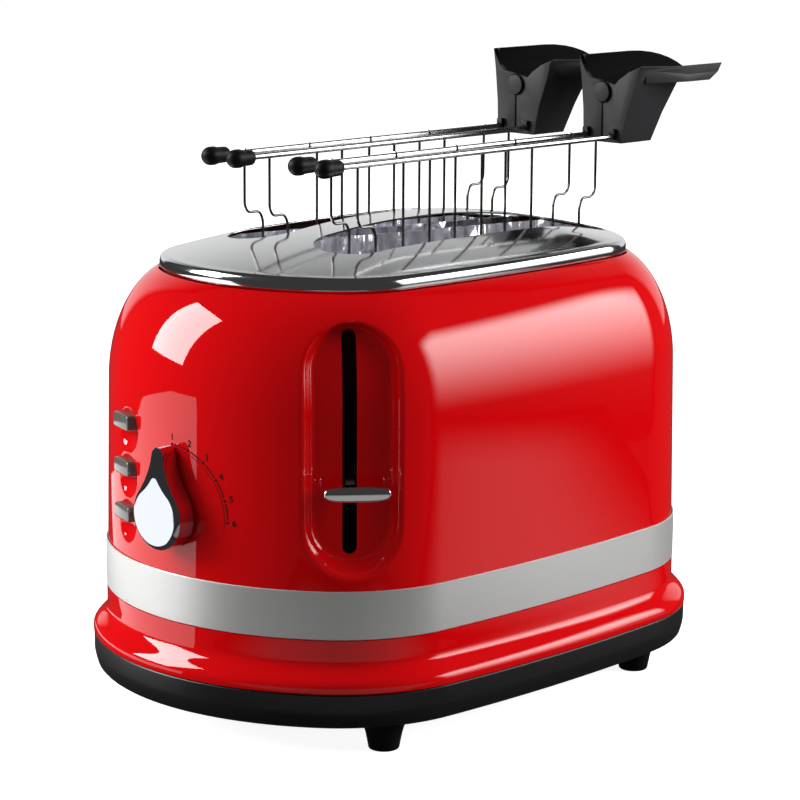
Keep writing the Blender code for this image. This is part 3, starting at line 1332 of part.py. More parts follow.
def make_tongs():
    for tongs, centre_x in (("tongs_far", -SLOT_X), ("tongs_near", SLOT_X)):
        for side, sign in (("left", -1), ("right", 1)):
            make_grid(tongs, side, sign, centre_x)
            make_cap(tongs, side, sign, centre_x)
            make_handle(tongs, side, sign, centre_x)
        make_pin(tongs, centre_x)


def centre_whole_object():
    """Move the frame so that the object's front and rear reach are the same."""
    knob_face = end_wall_y(0.0, -WALL_INSET) - KNOB_GAP - KNOB_DEPTH
    front = min(knob_face, -HALF_LENGTH - FLARE)
    rear = max(HANDLE_FRONT_Y + far_rear_depth(), HALF_LENGTH + FLARE)
    FRAME.location = (0.0, -(front + rear) / 2, 0.0)
    print(f"frame moved along Y by {FRAME.location.y * 1000:.3f} mm")


make_housing()
make_band()
make_base()
make_feet()
make_crumb_tray()
make_gland()
make_top_plate()
make_liners()
make_end_plates()
make_heaters()
make_guards()
make_guide_rod()
make_spring()
make_magnet()
make_board()
make_carriage()
make_lever()
make_knob()
make_buttons()
make_tongs()
centre_whole_object()
bpy.context.view_layer.update()
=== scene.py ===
import math

import bmesh
import bpy
from mathutils import Matrix, Vector
from mathutils.bvhtree import BVHTree


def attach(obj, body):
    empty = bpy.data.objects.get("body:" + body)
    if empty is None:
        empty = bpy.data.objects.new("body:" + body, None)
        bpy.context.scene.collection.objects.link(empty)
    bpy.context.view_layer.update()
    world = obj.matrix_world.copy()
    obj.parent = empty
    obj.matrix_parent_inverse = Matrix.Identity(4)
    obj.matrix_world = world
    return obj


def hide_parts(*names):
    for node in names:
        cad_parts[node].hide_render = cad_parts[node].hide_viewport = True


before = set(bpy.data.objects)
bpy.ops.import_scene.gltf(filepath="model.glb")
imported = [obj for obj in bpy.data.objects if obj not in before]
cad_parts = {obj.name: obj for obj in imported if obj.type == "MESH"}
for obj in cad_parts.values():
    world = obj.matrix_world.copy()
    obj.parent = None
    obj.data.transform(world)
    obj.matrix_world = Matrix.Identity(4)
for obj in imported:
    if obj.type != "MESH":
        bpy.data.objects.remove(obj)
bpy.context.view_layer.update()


# Camera
# The photograph's viewpoint, fitted to the body's edges: about 43 degrees round from the control end
# and 12 degrees above the table, with the horizon a little below the middle of the picture.
FRAME_Y = -0.0179  # where the body's centre, from which all sizes are measured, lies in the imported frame
CAMERA_AZIMUTH = math.radians(43.303)
CAMERA_ELEVATION = math.radians(12.103)
CAMERA_ROLL = math.radians(0.390)
CAMERA_DISTANCE = 1.3051
CAMERA_TARGET_Z = 0.1025
SENSOR = 36.0
FOCAL_SHARE = 2910.31 / 800
SHIFT = (0.00473, 0.06048)


def link(name, data):
    """A new object in the scene."""
    made = bpy.data.objects.new(name, data)
    bpy.context.scene.collection.objects.link(made)
    return made


def stand(made, place, right, up, back):
    """Put an object at a place with its three axes along the given ones."""
    made.matrix_world = Matrix.Translation(place) @ Matrix((right, up, back)).transposed().to_4x4()


def place_camera():
    a, e, r = CAMERA_AZIMUTH, CAMERA_ELEVATION, CAMERA_ROLL
    back = Vector((math.sin(a) * math.cos(e), -math.cos(a) * math.cos(e), math.sin(e)))
    level = Vector((math.cos(a), math.sin(a), 0.0))
    upright = back.cross(level)
    right = level * math.cos(r) + upright * math.sin(r)
    up = upright * math.cos(r) - level * math.sin(r)
    data = bpy.data.cameras.new("camera")
    data.sensor_width = SENSOR
    data.lens = FOCAL_SHARE * SENSOR
    data.shift_x, data.shift_y = SHIFT
    camera = link("camera", data)
    stand(camera, Vector((0.0, FRAME_Y, CAMERA_TARGET_Z)) + back * CAMERA_DISTANCE, right, up, back)
    bpy.context.scene.camera = camera


place_camera()
bpy.context.scene.view_settings.view_transform = "Standard"


# Floor and lights
# A pale floor in a white studio: a slanted window and a low panel at the left of the control end, a
# large soft box on the far side of the long wall, a dim one behind and two fills that no gloss shows.
WHITE = (1.0, 1.0, 1.0, 1.0)
FLOOR_REACH = 6.0
FLOOR_GLOW = 0.90
STUDIO_MATT = (0.12, 0.12, 0.12, 1.0)
STUDIO_GLOSS = (0.04, 0.04, 0.04, 1.0)
WALL_SPOT = (0.080, 0.020, 0.150)
# Name, spot that it serves, azimuth, elevation, distance, size, radiance, soft share of the left, right,
# low and high edge. A panel at elevation 0 lies on the floor and faces up; the others face their spot.
PANELS = (
    ("window_left", (-0.045, -0.150, 0.165), -54, 26, 1.50, (0.69, 0.95), 12.5, ()),
    ("panel_low", (-0.21019, -0.01622, 0.0005), -32, 0, 0.95, (0.52, 1.70), 1.5, ()),
    ("box_right", WALL_SPOT, 137, 11, 1.70, (1.50, 1.45), 8.6, (0.18, 0.25, 0.95, 0.20)),
    ("panel_right_low", (0.0900, -0.0100, 0.0005), 131, 0, 0.42, (0.40, 0.62), 0.6, (0.45, 0.45, 0.15, 0.30)),
    ("panel_near", (0.0650, -0.1200, 0.0005), 49, 0, 0.19, (0.40, 0.30), 0.3, (0.20, 0.20, 0.10, 0.50)),
    ("fill_right", WALL_SPOT, 136, 25, 1.60, (1.40, 1.40), 3.9, ()),
    ("fill_left", WALL_SPOT, -30, 12, 1.60, (1.40, 1.40), 1.5, ()),
    ("box_rear", (0.0, 0.0, 0.200), -141, 27, 1.80, (3.60, 2.10), 0.75, (0.10, 0.10, 0.02, 0.80)))


class Value:
    """A shader socket that takes arithmetic."""

    def __init__(self, look, socket):
        self.look = look
        self.socket = socket

    def apply(self, operation, first, second):
        return self.look.node("Math", {"operation": operation}, {0: first, 1: second})

    def __mul__(self, other):
        return self.apply("MULTIPLY", self, other)

    def __sub__(self, other):
        return self.apply("SUBTRACT", self, other)

    def __rsub__(self, other):
        return self.apply("SUBTRACT", other, self)

    __rmul__ = __mul__


class Look:
    """A material whose nodes are made with one method; its constants are the shader's own."""

    def __init__(self, name, colour, **constants):
        self.material = bpy.data.materials.new(name)
        self.material.use_nodes = True
        self.tree = self.material.node_tree
        self.shader = self.tree.nodes["Principled BSDF"]
        self.shader.inputs["Base Color"].default_value = (*colour, 1.0)
        for key, value in constants.items():
            self.shader.inputs[key.replace("_", " ").title().replace("Ior", "IOR")].default_value = value

    def node(self, kind, settings=None, inputs=None, output=0):
        made = self.tree.nodes.new(f"ShaderNode{kind}")
        for key, value in (settings or {}).items():
            setattr(made, key, value)
        for key, value in (inputs or {}).items():
            if isinstance(value, Value):
                self.tree.links.new(value.socket, made.inputs[key])
            else:
                made.inputs[key].default_value = value
        return Value(self, made.outputs[output])

    def feed(self, name, value):
        self.tree.links.new(value.socket, self.shader.inputs[name])

    def noise(self, scale, stretch=(1.0, 1.0, 1.0), detail=2.0):
        where = self.node("Mapping", {}, {"Vector": self.node("TexCoord", output="Object"), "Scale": stretch})
        return self.node("TexNoise", {}, {"Vector": where, "Scale": scale, "Detail": detail})

    def between(self, value, low, high, to_low, to_high):
        return self.node("MapRange", {}, {"Value": value, "From Min": low, "From Max": high,
                                          "To Min": to_low, "To Max": to_high})

    def bump(self, height, strength, distance):
        made = self.node("Bump", {}, {"Height": height, "Strength": strength, "Distance": distance})
        self.feed("Normal", made)

    def blend(self, factor, first, second):
        inputs = {"Factor": factor, "A": (*first, 1.0), "B": (*second, 1.0)}
        return self.node("Mix", {"data_type": "RGBA"}, inputs, "Result")


def glowing_sheet(name, finish, size, radiance, colour, roughness):
    """A flat rectangle that gives off white light, with its look."""
    x, y = size[0] / 2, size[1] / 2
    mesh = bpy.data.meshes.new(name)
    mesh.from_pydata([(-x, -y, 0), (x, -y, 0), (x, y, 0), (-x, y, 0)], [], [(0, 1, 2, 3)])
    look = Look(finish, colour, roughness=roughness, specular_ior_level=0.0, emission_color=WHITE,
                emission_strength=radiance)
    mesh.materials.append(look.material)
    made = link(name, mesh)
    return made, look


def towards(azimuth, elevation):
    """Direction from the toaster, turned from the control end towards the lever's side."""
    a, e = math.radians(azimuth), math.radians(elevation)
    return Vector((math.sin(a) * math.cos(e), -math.cos(a) * math.cos(e), math.sin(e)))


def soft_box(name, spot, azimuth, elevation, distance, size, radiance, fade):
    panel, look = glowing_sheet(name, name, size, radiance, (0.0, 0.0, 0.0), 1.0)
    if fade:
        where = look.node("TexCoord", output="Generated")
        x, y = (look.node("SeparateXYZ", {}, {"Vector": where}, axis) for axis in (0, 1))
        glow = 1.0
        for share, soft in zip((x, 1.0 - x, y, 1.0 - y), fade):
            glow = glow * look.node("MapRange", {"interpolation_type": "SMOOTHSTEP"},
                                    {"Value": share, "From Min": 0.0, "From Max": soft})
        look.feed("Emission Color", look.node("CombineColor", {}, {"Red": glow, "Green": glow, "Blue": glow}))
    way = towards(azimuth, elevation)
    facing = -way if elevation else Vector((0.0, 0.0, 1.0))
    level = towards(azimuth - 90, 0)
    stand(panel, Vector(spot) + way * distance, level, facing.cross(level), facing)
    panel.visible_camera = False
    panel.visible_shadow = False
    panel.visible_glossy = not name.startswith("fill")


def light_studio():
    """A world that is white to the camera, dim to matt surfaces and dimmer to glossy ones."""
    world = bpy.data.worlds.new("studio")
    world.use_nodes = True
    nodes, links = world.node_tree.nodes, world.node_tree.links
    path = nodes.new("ShaderNodeLightPath")
    dim, plain = nodes.new("ShaderNodeMix"), nodes.new("ShaderNodeMix")
    for mix, ray in ((dim, "Is Glossy Ray"), (plain, "Is Camera Ray")):
        mix.data_type = "RGBA"
        links.new(path.outputs[ray], mix.inputs["Factor"])
    dim.inputs["A"].default_value = STUDIO_MATT
    dim.inputs["B"].default_value = STUDIO_GLOSS
    plain.inputs["B"].default_value = WHITE
    links.new(dim.outputs["Result"], plain.inputs["A"])
    links.new(plain.outputs["Result"], nodes["Background"].inputs["Color"])
    bpy.context.scene.world = world


floor = glowing_sheet("floor", "floor_pale", (2 * FLOOR_REACH, 2 * FLOOR_REACH), FLOOR_GLOW,
                      (0.80, 0.80, 0.80), 0.9)[0]
floor.visible_glossy = False
floor.visible_diffuse = False
light_studio()
for panel_row in PANELS:
    soft_box(*panel_row)


# Enamelled housing
# One steel shell, deep drawn and enamelled in glossy red, with a flared foot and a waist that takes the
# steel band. A lever channel is pressed into its near front corner, and a round dish under each button.
HALF_WIDTH = 0.0943
HALF_LENGTH = 0.1370
SIDE_RADIUS = 0.8308
END_RADIUS = 0.1087
CORNER_RADIUS = 0.0657
WALL_INSET = 0.0009
WALL_LEAN = 0.0012
BAND_BOTTOM = 0.0495
BAND_TOP = 0.0700
SEAM_Z = 0.0280
FLARE = 0.0060
FLARE_STRAIGHT = 0.0024
FLARE_RISE = 0.0100
LOWER_INSET = 0.0002
GAP = 0.0003
SHOULDER_Z = 0.1415
SHOULDER_HEIGHT = 0.0505
SHOULDER_REACH = 0.0315
LIP_Z = 0.1890
LIP_DROP = 0.0019
LEDGE_WIDTH = 0.0030
SKIN = 0.0012
CHANNEL_ANGLE = math.radians(-40.7)
CHANNEL_Z = 0.1270
CHANNEL_WIDTH = 0.0424
CHANNEL_HEIGHT = 0.1055
CHANNEL_FLOOR_WIDTH = 0.0310
CHANNEL_FLOOR_HEIGHT = 0.0926
CHANNEL_FLOOR_RISE = 0.0026
CHANNEL_DEPTH = 0.0080
LEVER_SLOT_WIDTH = 0.0060
LEVER_SLOT_HEIGHT = 0.0918
LEVER_SLOT_SHIFT = 0.0008
DISH_X = -0.0340
BUTTON_HEIGHTS = (0.0895, 0.10925, 0.1290)
DISH_DROP = 0.0038
DISH_RADIUS = 0.0092
DISH_DEPTH = 0.0025
# Steps along the side, corner and end arcs, closest together where the channel and dishes are pressed
HOUSING_STEPS = {"near_front": (10, 90, 60), "far_front": (10, 60, 90), "rear": (10, 30, 20)}
FLARE_STEPS = 26
WALL_STEPS = 100
SHOULDER_STEPS = 70
PARTS = bpy.data.collections.new("toaster_looks")
bpy.context.scene.collection.children.link(PARTS)


def corner_centre():
    """Where the corner arc's centre lies, so that it runs on smoothly from the side and end arcs."""
    side = Vector((HALF_WIDTH - SIDE_RADIUS, 0.0))
    end = Vector((0.0, HALF_LENGTH - END_RADIUS))
    side_reach = SIDE_RADIUS - CORNER_RADIUS
    end_reach = END_RADIUS - CORNER_RADIUS
    apart = (end - side).length
    along = (side_reach ** 2 - end_reach ** 2 + apart ** 2) / (2 * apart)
    aside = math.sqrt(max(side_reach ** 2 - along ** 2, 0.0))
    forward = (end - side).normalized()
    return side + forward * along + Vector((-forward.y, forward.x)) * aside


CORNER = corner_centre()
CHANNEL_OUT = Vector((math.cos(CHANNEL_ANGLE), math.sin(CHANNEL_ANGLE), 0.0))
CHANNEL_SIDE = Vector((-CHANNEL_OUT.y, CHANNEL_OUT.x, 0.0))
CHANNEL_FOOT = (Vector((CORNER.x, -CORNER.y + FRAME_Y, CHANNEL_Z))
                + CHANNEL_OUT * (CORNER_RADIUS - WALL_INSET))


def quarter(grow, steps):
    """Plan points of one quarter from the side towards the end, without the last."""
    side = Vector((HALF_WIDTH - SIDE_RADIUS, 0.0))
    end = Vector((0.0, HALF_LENGTH - END_RADIUS))
    first = math.atan2(CORNER.y - side.y, CORNER.x - side.x)
    second = math.atan2(CORNER.y - end.y, CORNER.x - end.x)
    spans = ((side, SIDE_RADIUS, 0.0, first), (CORNER, CORNER_RADIUS, first, second),
             (end, END_RADIUS, second, math.pi / 2))
    points = []
    for (centre, radius, start, stop), count in zip(spans, steps):
        for angle in spread(start, stop, count):
            points.append((centre.x + (radius + grow) * math.cos(angle),
                           centre.y + (radius + grow) * math.sin(angle)))
    return points


def plan(grow, near_front, far_front=None, rear=None):
    """Points round the oval plan, counterclockwise from +X; one set of steps serves all four quarters."""
    top = HALF_LENGTH + grow
    rear_steps = rear or near_front
    rear_near = quarter(grow, rear_steps)
    rear_far = [(-x, y) for x, y in quarter(grow, rear_steps)[1:][::-1]]
    front_far = [(-x, -y) for x, y in quarter(grow, far_front or near_front)]
    front_near = [(x, -y) for x, y in quarter(grow, near_front)[1:][::-1]]
    points = rear_near + [(0.0, top)] + rear_far + front_far + [(0.0, -top)] + front_near
    return [(x, y + FRAME_Y) for x, y in points]


def wall_grow(z):
    """How far the leaning wall and the round shoulder stand out at a height."""
    lean = WALL_LEAN * (z - BAND_TOP) / (SHOULDER_Z - BAND_TOP)
    rise = max(0.0, min(1.0, (z - SHOULDER_Z) / SHOULDER_HEIGHT))
    return -WALL_INSET - max(0.0, lean) - SHOULDER_REACH * (1.0 - math.sqrt(1.0 - rise ** 2))


def foot_grow(z):
    """How far the S-shaped flare below the band stands out at a height."""
    share = (z - SEAM_Z - FLARE_STRAIGHT) / FLARE_RISE
    blend = (1 + math.cos(math.pi * max(0.0, min(1.0, share)))) / 2
    return (FLARE + LOWER_INSET) * blend - LOWER_INSET


def spread(low, high, count):
    return [low + (high - low) * k / count for k in range(count)]


def skin(name, rings, closed=False):
    """A mesh through rings of equal count; closed runs the last ring on to the first."""
    count = len(rings[0])
    points = [point for ring in rings for point in ring]
    last = len(rings) if closed else len(rings) - 1
    faces = []
    for level in range(last):
        low, high = level * count, (level + 1) % len(rings) * count
        faces += [(low + k, low + (k + 1) % count, high + (k + 1) % count, high + k) for k in range(count)]
    mesh = bpy.data.meshes.new(name)
    mesh.from_pydata(points, [], faces)
    mesh.update()
    return mesh


def shut(mesh):
    """Close a skin's open ends and turn its faces outwards."""
    bm = bmesh.new()
    bm.from_mesh(mesh)
    bmesh.ops.holes_fill(bm, edges=bm.edges, sides=0)
    bmesh.ops.recalc_face_normals(bm, faces=bm.faces)
    bm.to_mesh(mesh)
    bm.free()
    return mesh


def shade(mesh, degrees):
    mesh.shade_smooth()
    mesh.set_sharp_from_angle(angle=math.radians(degrees))


def piece(name, mesh, look, body, *nodes, smooth=35):
    """Link a mesh as a piece that rides on a body and stands for the given nodes."""
    made = bpy.data.objects.new(name, mesh)
    mesh.materials.append(look.material)
    PARTS.objects.link(made)
    if smooth:
        shade(mesh, smooth)
    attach(made, body)
    if nodes:
        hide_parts(*nodes)
    return made


def add_step(made, kind, **settings):
    step = made.modifiers.new(kind.lower(), kind)
    for key, value in settings.items():
        setattr(step, key, value)


def shown_mesh(made):
    """The mesh that an object shows, with its modifiers or its curve worked out."""
    bpy.context.view_layer.update()
    return bpy.data.meshes.new_from_object(made.evaluated_get(bpy.context.evaluated_depsgraph_get()))


def settle(made, degrees):
    """Turn a piece's modifiers into its own mesh."""
    mesh = shown_mesh(made)
    made.modifiers.clear()
    made.data = mesh
    shade(mesh, degrees)


def cut_away(made, mesh, degrees=35):
    """Cut a closed mesh out of a piece."""
    cutter = link("cutter", mesh)
    cutter.matrix_world = made.matrix_world
    add_step(made, "BOOLEAN", operation="DIFFERENCE", solver="EXACT", object=cutter)
    settle(made, degrees)
    bpy.data.objects.remove(cutter)


def inside_by(u, v, width, height):
    """How far a place lies inside the edge of an upright oblong."""
    radius = width / 2
    beyond = max(abs(v) - (height / 2 - radius), 0.0)
    return radius - math.hypot(u, beyond)


def ease(share):
    return share * share * (3 - 2 * share)


def press_channel(point):
    """Push a point of the wall in where the lever channel is."""
    away = point - CHANNEL_FOOT
    u, v, depth = away.dot(CHANNEL_SIDE), away.z, -away.dot(CHANNEL_OUT)
    from_rim = inside_by(u, v, CHANNEL_WIDTH, CHANNEL_HEIGHT)
    if from_rim <= 0 or point.x < 0 or point.y > FRAME_Y:
        return point
    from_floor = max(-inside_by(u, v - CHANNEL_FLOOR_RISE, CHANNEL_FLOOR_WIDTH, CHANNEL_FLOOR_HEIGHT), 0.0)
    share = from_rim / (from_rim + from_floor)
    bend = -wall_grow(point.z) - WALL_INSET
    return point - CHANNEL_OUT * ((bend + CHANNEL_DEPTH - depth) * ease(share))


def end_place(x, z):
    """A place on the control end's round wall, and the direction straight out of the wall there."""
    radius = END_RADIUS - WALL_INSET
    outward = Vector((x / radius, -math.sqrt(1 - (x / radius) ** 2), 0.0))
    return Vector((0.0, FRAME_Y - (HALF_LENGTH - END_RADIUS), z)) + outward * radius, outward


DISHES = [end_place(DISH_X, z - DISH_DROP) for z in BUTTON_HEIGHTS]


def press_dishes(point):
    """Push a point of the wall in where a button's dish is."""
    for middle, outward in DISHES:
        away = point - middle
        reach = (away - outward * away.dot(outward)).length
        if reach < DISH_RADIUS and point.y < FRAME_Y:
            return point - outward * DISH_DEPTH * (1 - (reach / DISH_RADIUS) ** 2)
    return point


def housing_levels():
    """Heights and growths up the shell, from the seam over flare, waist, wall and shoulder to the ledge."""
    flare_top = SEAM_Z + FLARE_STRAIGHT + FLARE_RISE
    step_z = BAND_BOTTOM - GAP
    levels = [(SEAM_Z, FLARE - 0.0005), (SEAM_Z + 0.0002, FLARE - 0.0001), (SEAM_Z + 0.0006, FLARE)]
    levels += [(z, foot_grow(z)) for z in spread(SEAM_Z + FLARE_STRAIGHT, flare_top, FLARE_STEPS)]
    levels += [(z, foot_grow(z)) for z in spread(flare_top, step_z, 3)]
    levels += [(step_z, -LOWER_INSET), (step_z, -WALL_INSET), (BAND_BOTTOM, -WALL_INSET)]
    levels += [(z, wall_grow(z)) for z in spread(BAND_TOP, SHOULDER_Z, WALL_STEPS)]
    crest = math.asin((LIP_Z - SHOULDER_Z) / SHOULDER_HEIGHT)
    arcs = [SHOULDER_Z + SHOULDER_HEIGHT * math.sin(crest * k / SHOULDER_STEPS)
            for k in range(SHOULDER_STEPS + 1)]
    levels += [(z, wall_grow(z)) for z in arcs]
    lip = levels[-1][1]
    ledge = LIP_Z - LIP_DROP
    return levels + [(LIP_Z - LIP_DROP / 4, lip - SKIN / 2), (ledge, lip - SKIN * 0.7),
                     (ledge, lip - LEDGE_WIDTH)]


def housing_mesh():
    rings = []
    for z, grow in housing_levels():
        ring = [Vector((x, y, z)) for x, y in plan(grow, **HOUSING_STEPS)]
        rings.append([press_dishes(press_channel(point)) for point in ring])
    return skin("housing_skin", rings)


def lever_slot():
    """The closed form that opens the lever's slot through the channel's floor."""
    radius = LEVER_SLOT_WIDTH / 2
    straight = LEVER_SLOT_HEIGHT / 2 - radius
    outline = [(radius * math.cos(a), straight + radius * math.sin(a))
               for a in (math.pi * k / 12 for k in range(13))]
    outline += [(-u, -v) for u, v in outline]
    rings = []
    for depth in (CHANNEL_DEPTH / 2, CHANNEL_DEPTH + SHOULDER_REACH):
        middle = CHANNEL_FOOT - CHANNEL_OUT * depth - CHANNEL_SIDE * LEVER_SLOT_SHIFT
        rings.append([middle + CHANNEL_SIDE * u + Vector((0, 0, CHANNEL_FLOOR_RISE + v)) for u, v in outline])
    return shut(skin("lever_slot", rings))


enamel = Look("red_enamel", (0.72, 0.002, 0.004), roughness=0.5, specular_ior_level=0.0, coat_weight=1.0,
              coat_roughness=0.03)
enamel.bump(enamel.noise(420.0), 0.05, 0.0004)
housing = piece("housing_shell", housing_mesh(), enamel, "body", "housing")
add_step(housing, "SOLIDIFY", thickness=SKIN, offset=-1.0)
cut_away(housing, lever_slot(), degrees=40)


# Trim band
# A thin band of steel with its brushed grain running along it. It is sprung round the housing's waist
# and fills the step that is pressed there.
BAND_THICKNESS = 0.0006
BAND_EDGE = 0.0003
RING_STEPS = (12, 40, 24)


def round_plan(profile, steps=RING_STEPS):
    """Rings round the oval plan, from heights and growths."""
    return [[(x, y, z) for x, y in plan(grow, steps)] for z, grow in profile]


brushed = Look("brushed_steel", (0.73, 0.73, 0.72), metallic=0.72, roughness=0.42)
grain = brushed.noise(60.0, (1.0, 1.0, 60.0), 3.0)
brushed.feed("Roughness", brushed.between(grain, 0.3, 0.7, 0.38, 0.50))
brushed.bump(grain, 0.16, 0.0003)
band_rings = round_plan([
    (BAND_BOTTOM, -BAND_EDGE), (BAND_BOTTOM + BAND_EDGE, 0.0), (BAND_TOP - BAND_EDGE, 0.0),
    (BAND_TOP, -BAND_EDGE), (BAND_TOP, -BAND_THICKNESS), (BAND_BOTTOM, -BAND_THICKNESS)])
band = piece("trim_band_steel", skin("band", band_rings, True), brushed, "body", "trim_band")


# Base
# A shallow tray moulded in satin black plastic that closes the housing from below. Its wall stands
# under the flare, rounded at the bottom edge, and is open at the rear for the crumb tray.
BASE_BOTTOM = 0.0125
BASE_OUTER = FLARE - GAP
BASE_SHEET = 0.0022
BASE_TOP = SEAM_Z - GAP
GATE_HALF = 0.0980 / 2 + 0.0006
GATE_BOTTOM = 0.0150
GATE_TOP = 0.0226
GATE_Y = (0.05, 0.16)


def base_profile():
    """Heights and growths up the outside, rounded under the edge, then down the inside to the floor."""
    low = [(0.0125, -0.0052), (0.0126, -0.0040), (0.0129, -0.0030), (0.0135, -0.0021), (0.0144, -0.0013)]
    belly = [(0.0151 + 0.0060 * k / 8, -0.0011 * (1 - math.sin(math.pi / 2 * k / 8))) for k in range(9)]
    rim = [(BASE_TOP - 0.0004, 0.0), (BASE_TOP, -0.0003)]
    inside = [(BASE_TOP, -BASE_SHEET), (BASE_BOTTOM + BASE_SHEET, -BASE_SHEET - 0.0020)]
    return [(z, BASE_OUTER + grow) for z, grow in low + belly + rim + inside]


def box_mesh(name, low, high):
    corners = ((low[0], low[1]), (high[0], low[1]), (high[0], high[1]), (low[0], high[1]))
    return shut(skin(name, [[(x, y, z) for x, y in corners] for z in (low[2], high[2])]))


black = Look("black_plastic", (0.008, 0.008, 0.0085), roughness=0.36)
black.bump(black.noise(900.0), 0.08, 0.0003)
base = piece("base_tray", shut(skin("base_tray", round_plan(base_profile()))), black, "body", "base")
cut_away(base, box_mesh("gate", (-GATE_HALF, GATE_Y[0], GATE_BOTTOM), (GATE_HALF, GATE_Y[1], GATE_TOP)))


# Feet
# Four round feet moulded in dull black rubber and pressed into the base. Each has a rounded sole and
# widens a little towards the top.
FOOT_X = 0.0770
FOOT_ENDS = (("front", -0.0880), ("rear", 0.0770))
SOLE_RADIUS = 0.0066
SOLE_ROUND = 0.0012


def turns(count):
    """Evenly spaced angles once round."""
    return [2 * math.pi * k / count for k in range(count)]


def lathe(name, centre_x, centre_y, profile):
    """A round form about an upright axis, from heights and radii."""
    return shut(skin(name, [[(centre_x + r * math.cos(a), centre_y + r * math.sin(a), z) for a in turns(48)]
                            for z, r in profile]))


def foot_profile():
    sole = [(SOLE_ROUND * (1 - math.cos(a)), SOLE_RADIUS - SOLE_ROUND * (1 - math.sin(a)))
            for a in (math.pi / 2 * k / 6 for k in range(7))]
    return sole + [(0.0040, 0.0071), (0.0070, 0.0077), (0.0098, 0.0085), (0.0122, 0.0096)]


rubber = Look("soft_black", (0.006, 0.006, 0.006), roughness=0.45, specular_ior_level=0.18)
rubber.bump(rubber.noise(1200.0), 0.15, 0.0003)
for end, y in FOOT_ENDS:
    for side, x in (("left", -FOOT_X), ("right", FOOT_X)):
        foot = piece(f"foot_{end}_{side}_rubber", lathe("foot", x, y + FRAME_Y, foot_profile()), rubber, "body",
                     f"foot_{end}_{side}")


# Top plate
# A crowned plate of mirror-polished steel whose rim is rolled down on to the housing's ledge. The two
# bread slots are stamped out of it.
PLATE_INSET = 0.0246
PLATE_ROLL = 0.0030
PLATE_SHEET = 0.0008
PLATE_RIM_Z = 0.1940
PLATE_CROWN = 0.0143
PLATE_EDGE_Z = LIP_Z - LIP_DROP + GAP
ROLL_START = 0.955  # the share of the way from the middle to the edge at which the roll begins
ROLL_HEIGHT = 0.0042
CROWN_STEPS = 40
ROLL_STEPS = 10
PLATE_STEPS = (16, 40, 30)
SLOT_X = 0.0263
SLOT_WIDTH = 0.0340
SLOT_FRONT_Y = -0.0720 + FRAME_Y
SLOT_REAR_Y = 0.1030 + FRAME_Y
STAMP_Z = (0.18, 0.22)
SAME_SHADE = 0.9  # below this cosine between the old shading and a face, the face belongs to the cut


def plate_levels(drop):
    """Rings from near the middle out over the crown and down the rolled rim."""
    rings = []
    edge = plan(-PLATE_INSET - PLATE_ROLL, PLATE_STEPS)
    for k in range(1, CROWN_STEPS + 1):
        share = k / CROWN_STEPS
        z = PLATE_RIM_Z + PLATE_CROWN * (1 - (share * ROLL_START) ** 2) - drop
        rings.append([(x * share, (y - FRAME_Y) * share + FRAME_Y, z) for x, y in edge])
    start = PLATE_RIM_Z + PLATE_CROWN * (1 - ROLL_START ** 2)
    turn = PLATE_EDGE_Z + ROLL_HEIGHT
    roll = []
    for k in range(1, ROLL_STEPS + 1):
        angle = math.pi / 2 * k / ROLL_STEPS
        roll.append((turn + (start - drop - turn) * math.cos(angle),
                     -PLATE_INSET - PLATE_ROLL + (PLATE_ROLL - drop) * math.sin(angle)))
    return rings + round_plan(roll + [(PLATE_EDGE_Z, -PLATE_INSET - drop)], PLATE_STEPS)


def oblong(centre_x, width, front, rear, steps=24):
    """Points round a slot shape that lies along Y."""
    radius = width / 2
    half = [math.pi * k / steps for k in range(steps + 1)]
    return ([(centre_x + radius * math.cos(a), rear - radius + radius * math.sin(a)) for a in half]
            + [(centre_x - radius * math.cos(a), front + radius - radius * math.sin(a)) for a in half])


def copy_shade(before, mesh):
    """Give a stamped mesh the shading of the mesh as it was, except on the cut edge itself."""
    bm = bmesh.new()
    bm.from_mesh(before)
    bm.normal_update()
    tree = BVHTree.FromBMesh(bm)
    bm.faces.ensure_lookup_table()
    normals = []
    for loop in mesh.loops:
        spot = mesh.vertices[loop.vertex_index].co
        face = bm.faces[tree.find_nearest(spot)[2]]
        weights = [1.0 / ((corner.co - spot).length + 1e-7) ** 2 for corner in face.verts]
        mixed = sum((corner.normal * weight for corner, weight in zip(face.verts, weights)), Vector())
        normals.append(mixed.normalized())
    for face in mesh.polygons:
        own = sum((normals[k] for k in face.loop_indices), Vector()).normalized()
        if own.dot(face.normal) < SAME_SHADE:
            for k in face.loop_indices:
                normals[k] = face.normal.copy()
    mesh.normals_split_custom_set(normals)
    bm.free()


mirror = Look("polished_steel", (0.84, 0.85, 0.86), metallic=1.0, roughness=0.10)
plate_mesh = shut(skin("plate", plate_levels(0.0) + plate_levels(PLATE_SHEET)[::-1]))
plate = piece("top_plate_polished", plate_mesh, mirror, "body", "top_plate")
for slot_x in (-SLOT_X, SLOT_X):
    outline = oblong(slot_x, SLOT_WIDTH, SLOT_FRONT_Y, SLOT_REAR_Y)
    uncut = plate.data.copy()
    cut_away(plate, shut(skin("slot", [[(x, y, z) for x, y in outline] for z in STAMP_Z])))
    copy_shade(uncut, plate.data)


# Slot liners
# A hoop of thin bright sheet round each slot, its top edge following the plate's crown. The sheet is
# folded and spot-welded, so its wall is wavy and throws crumpled reflections.
LINER_SHEET = 0.0006
LINER_BOTTOM = 0.1728
LINER_GAP = 0.0004


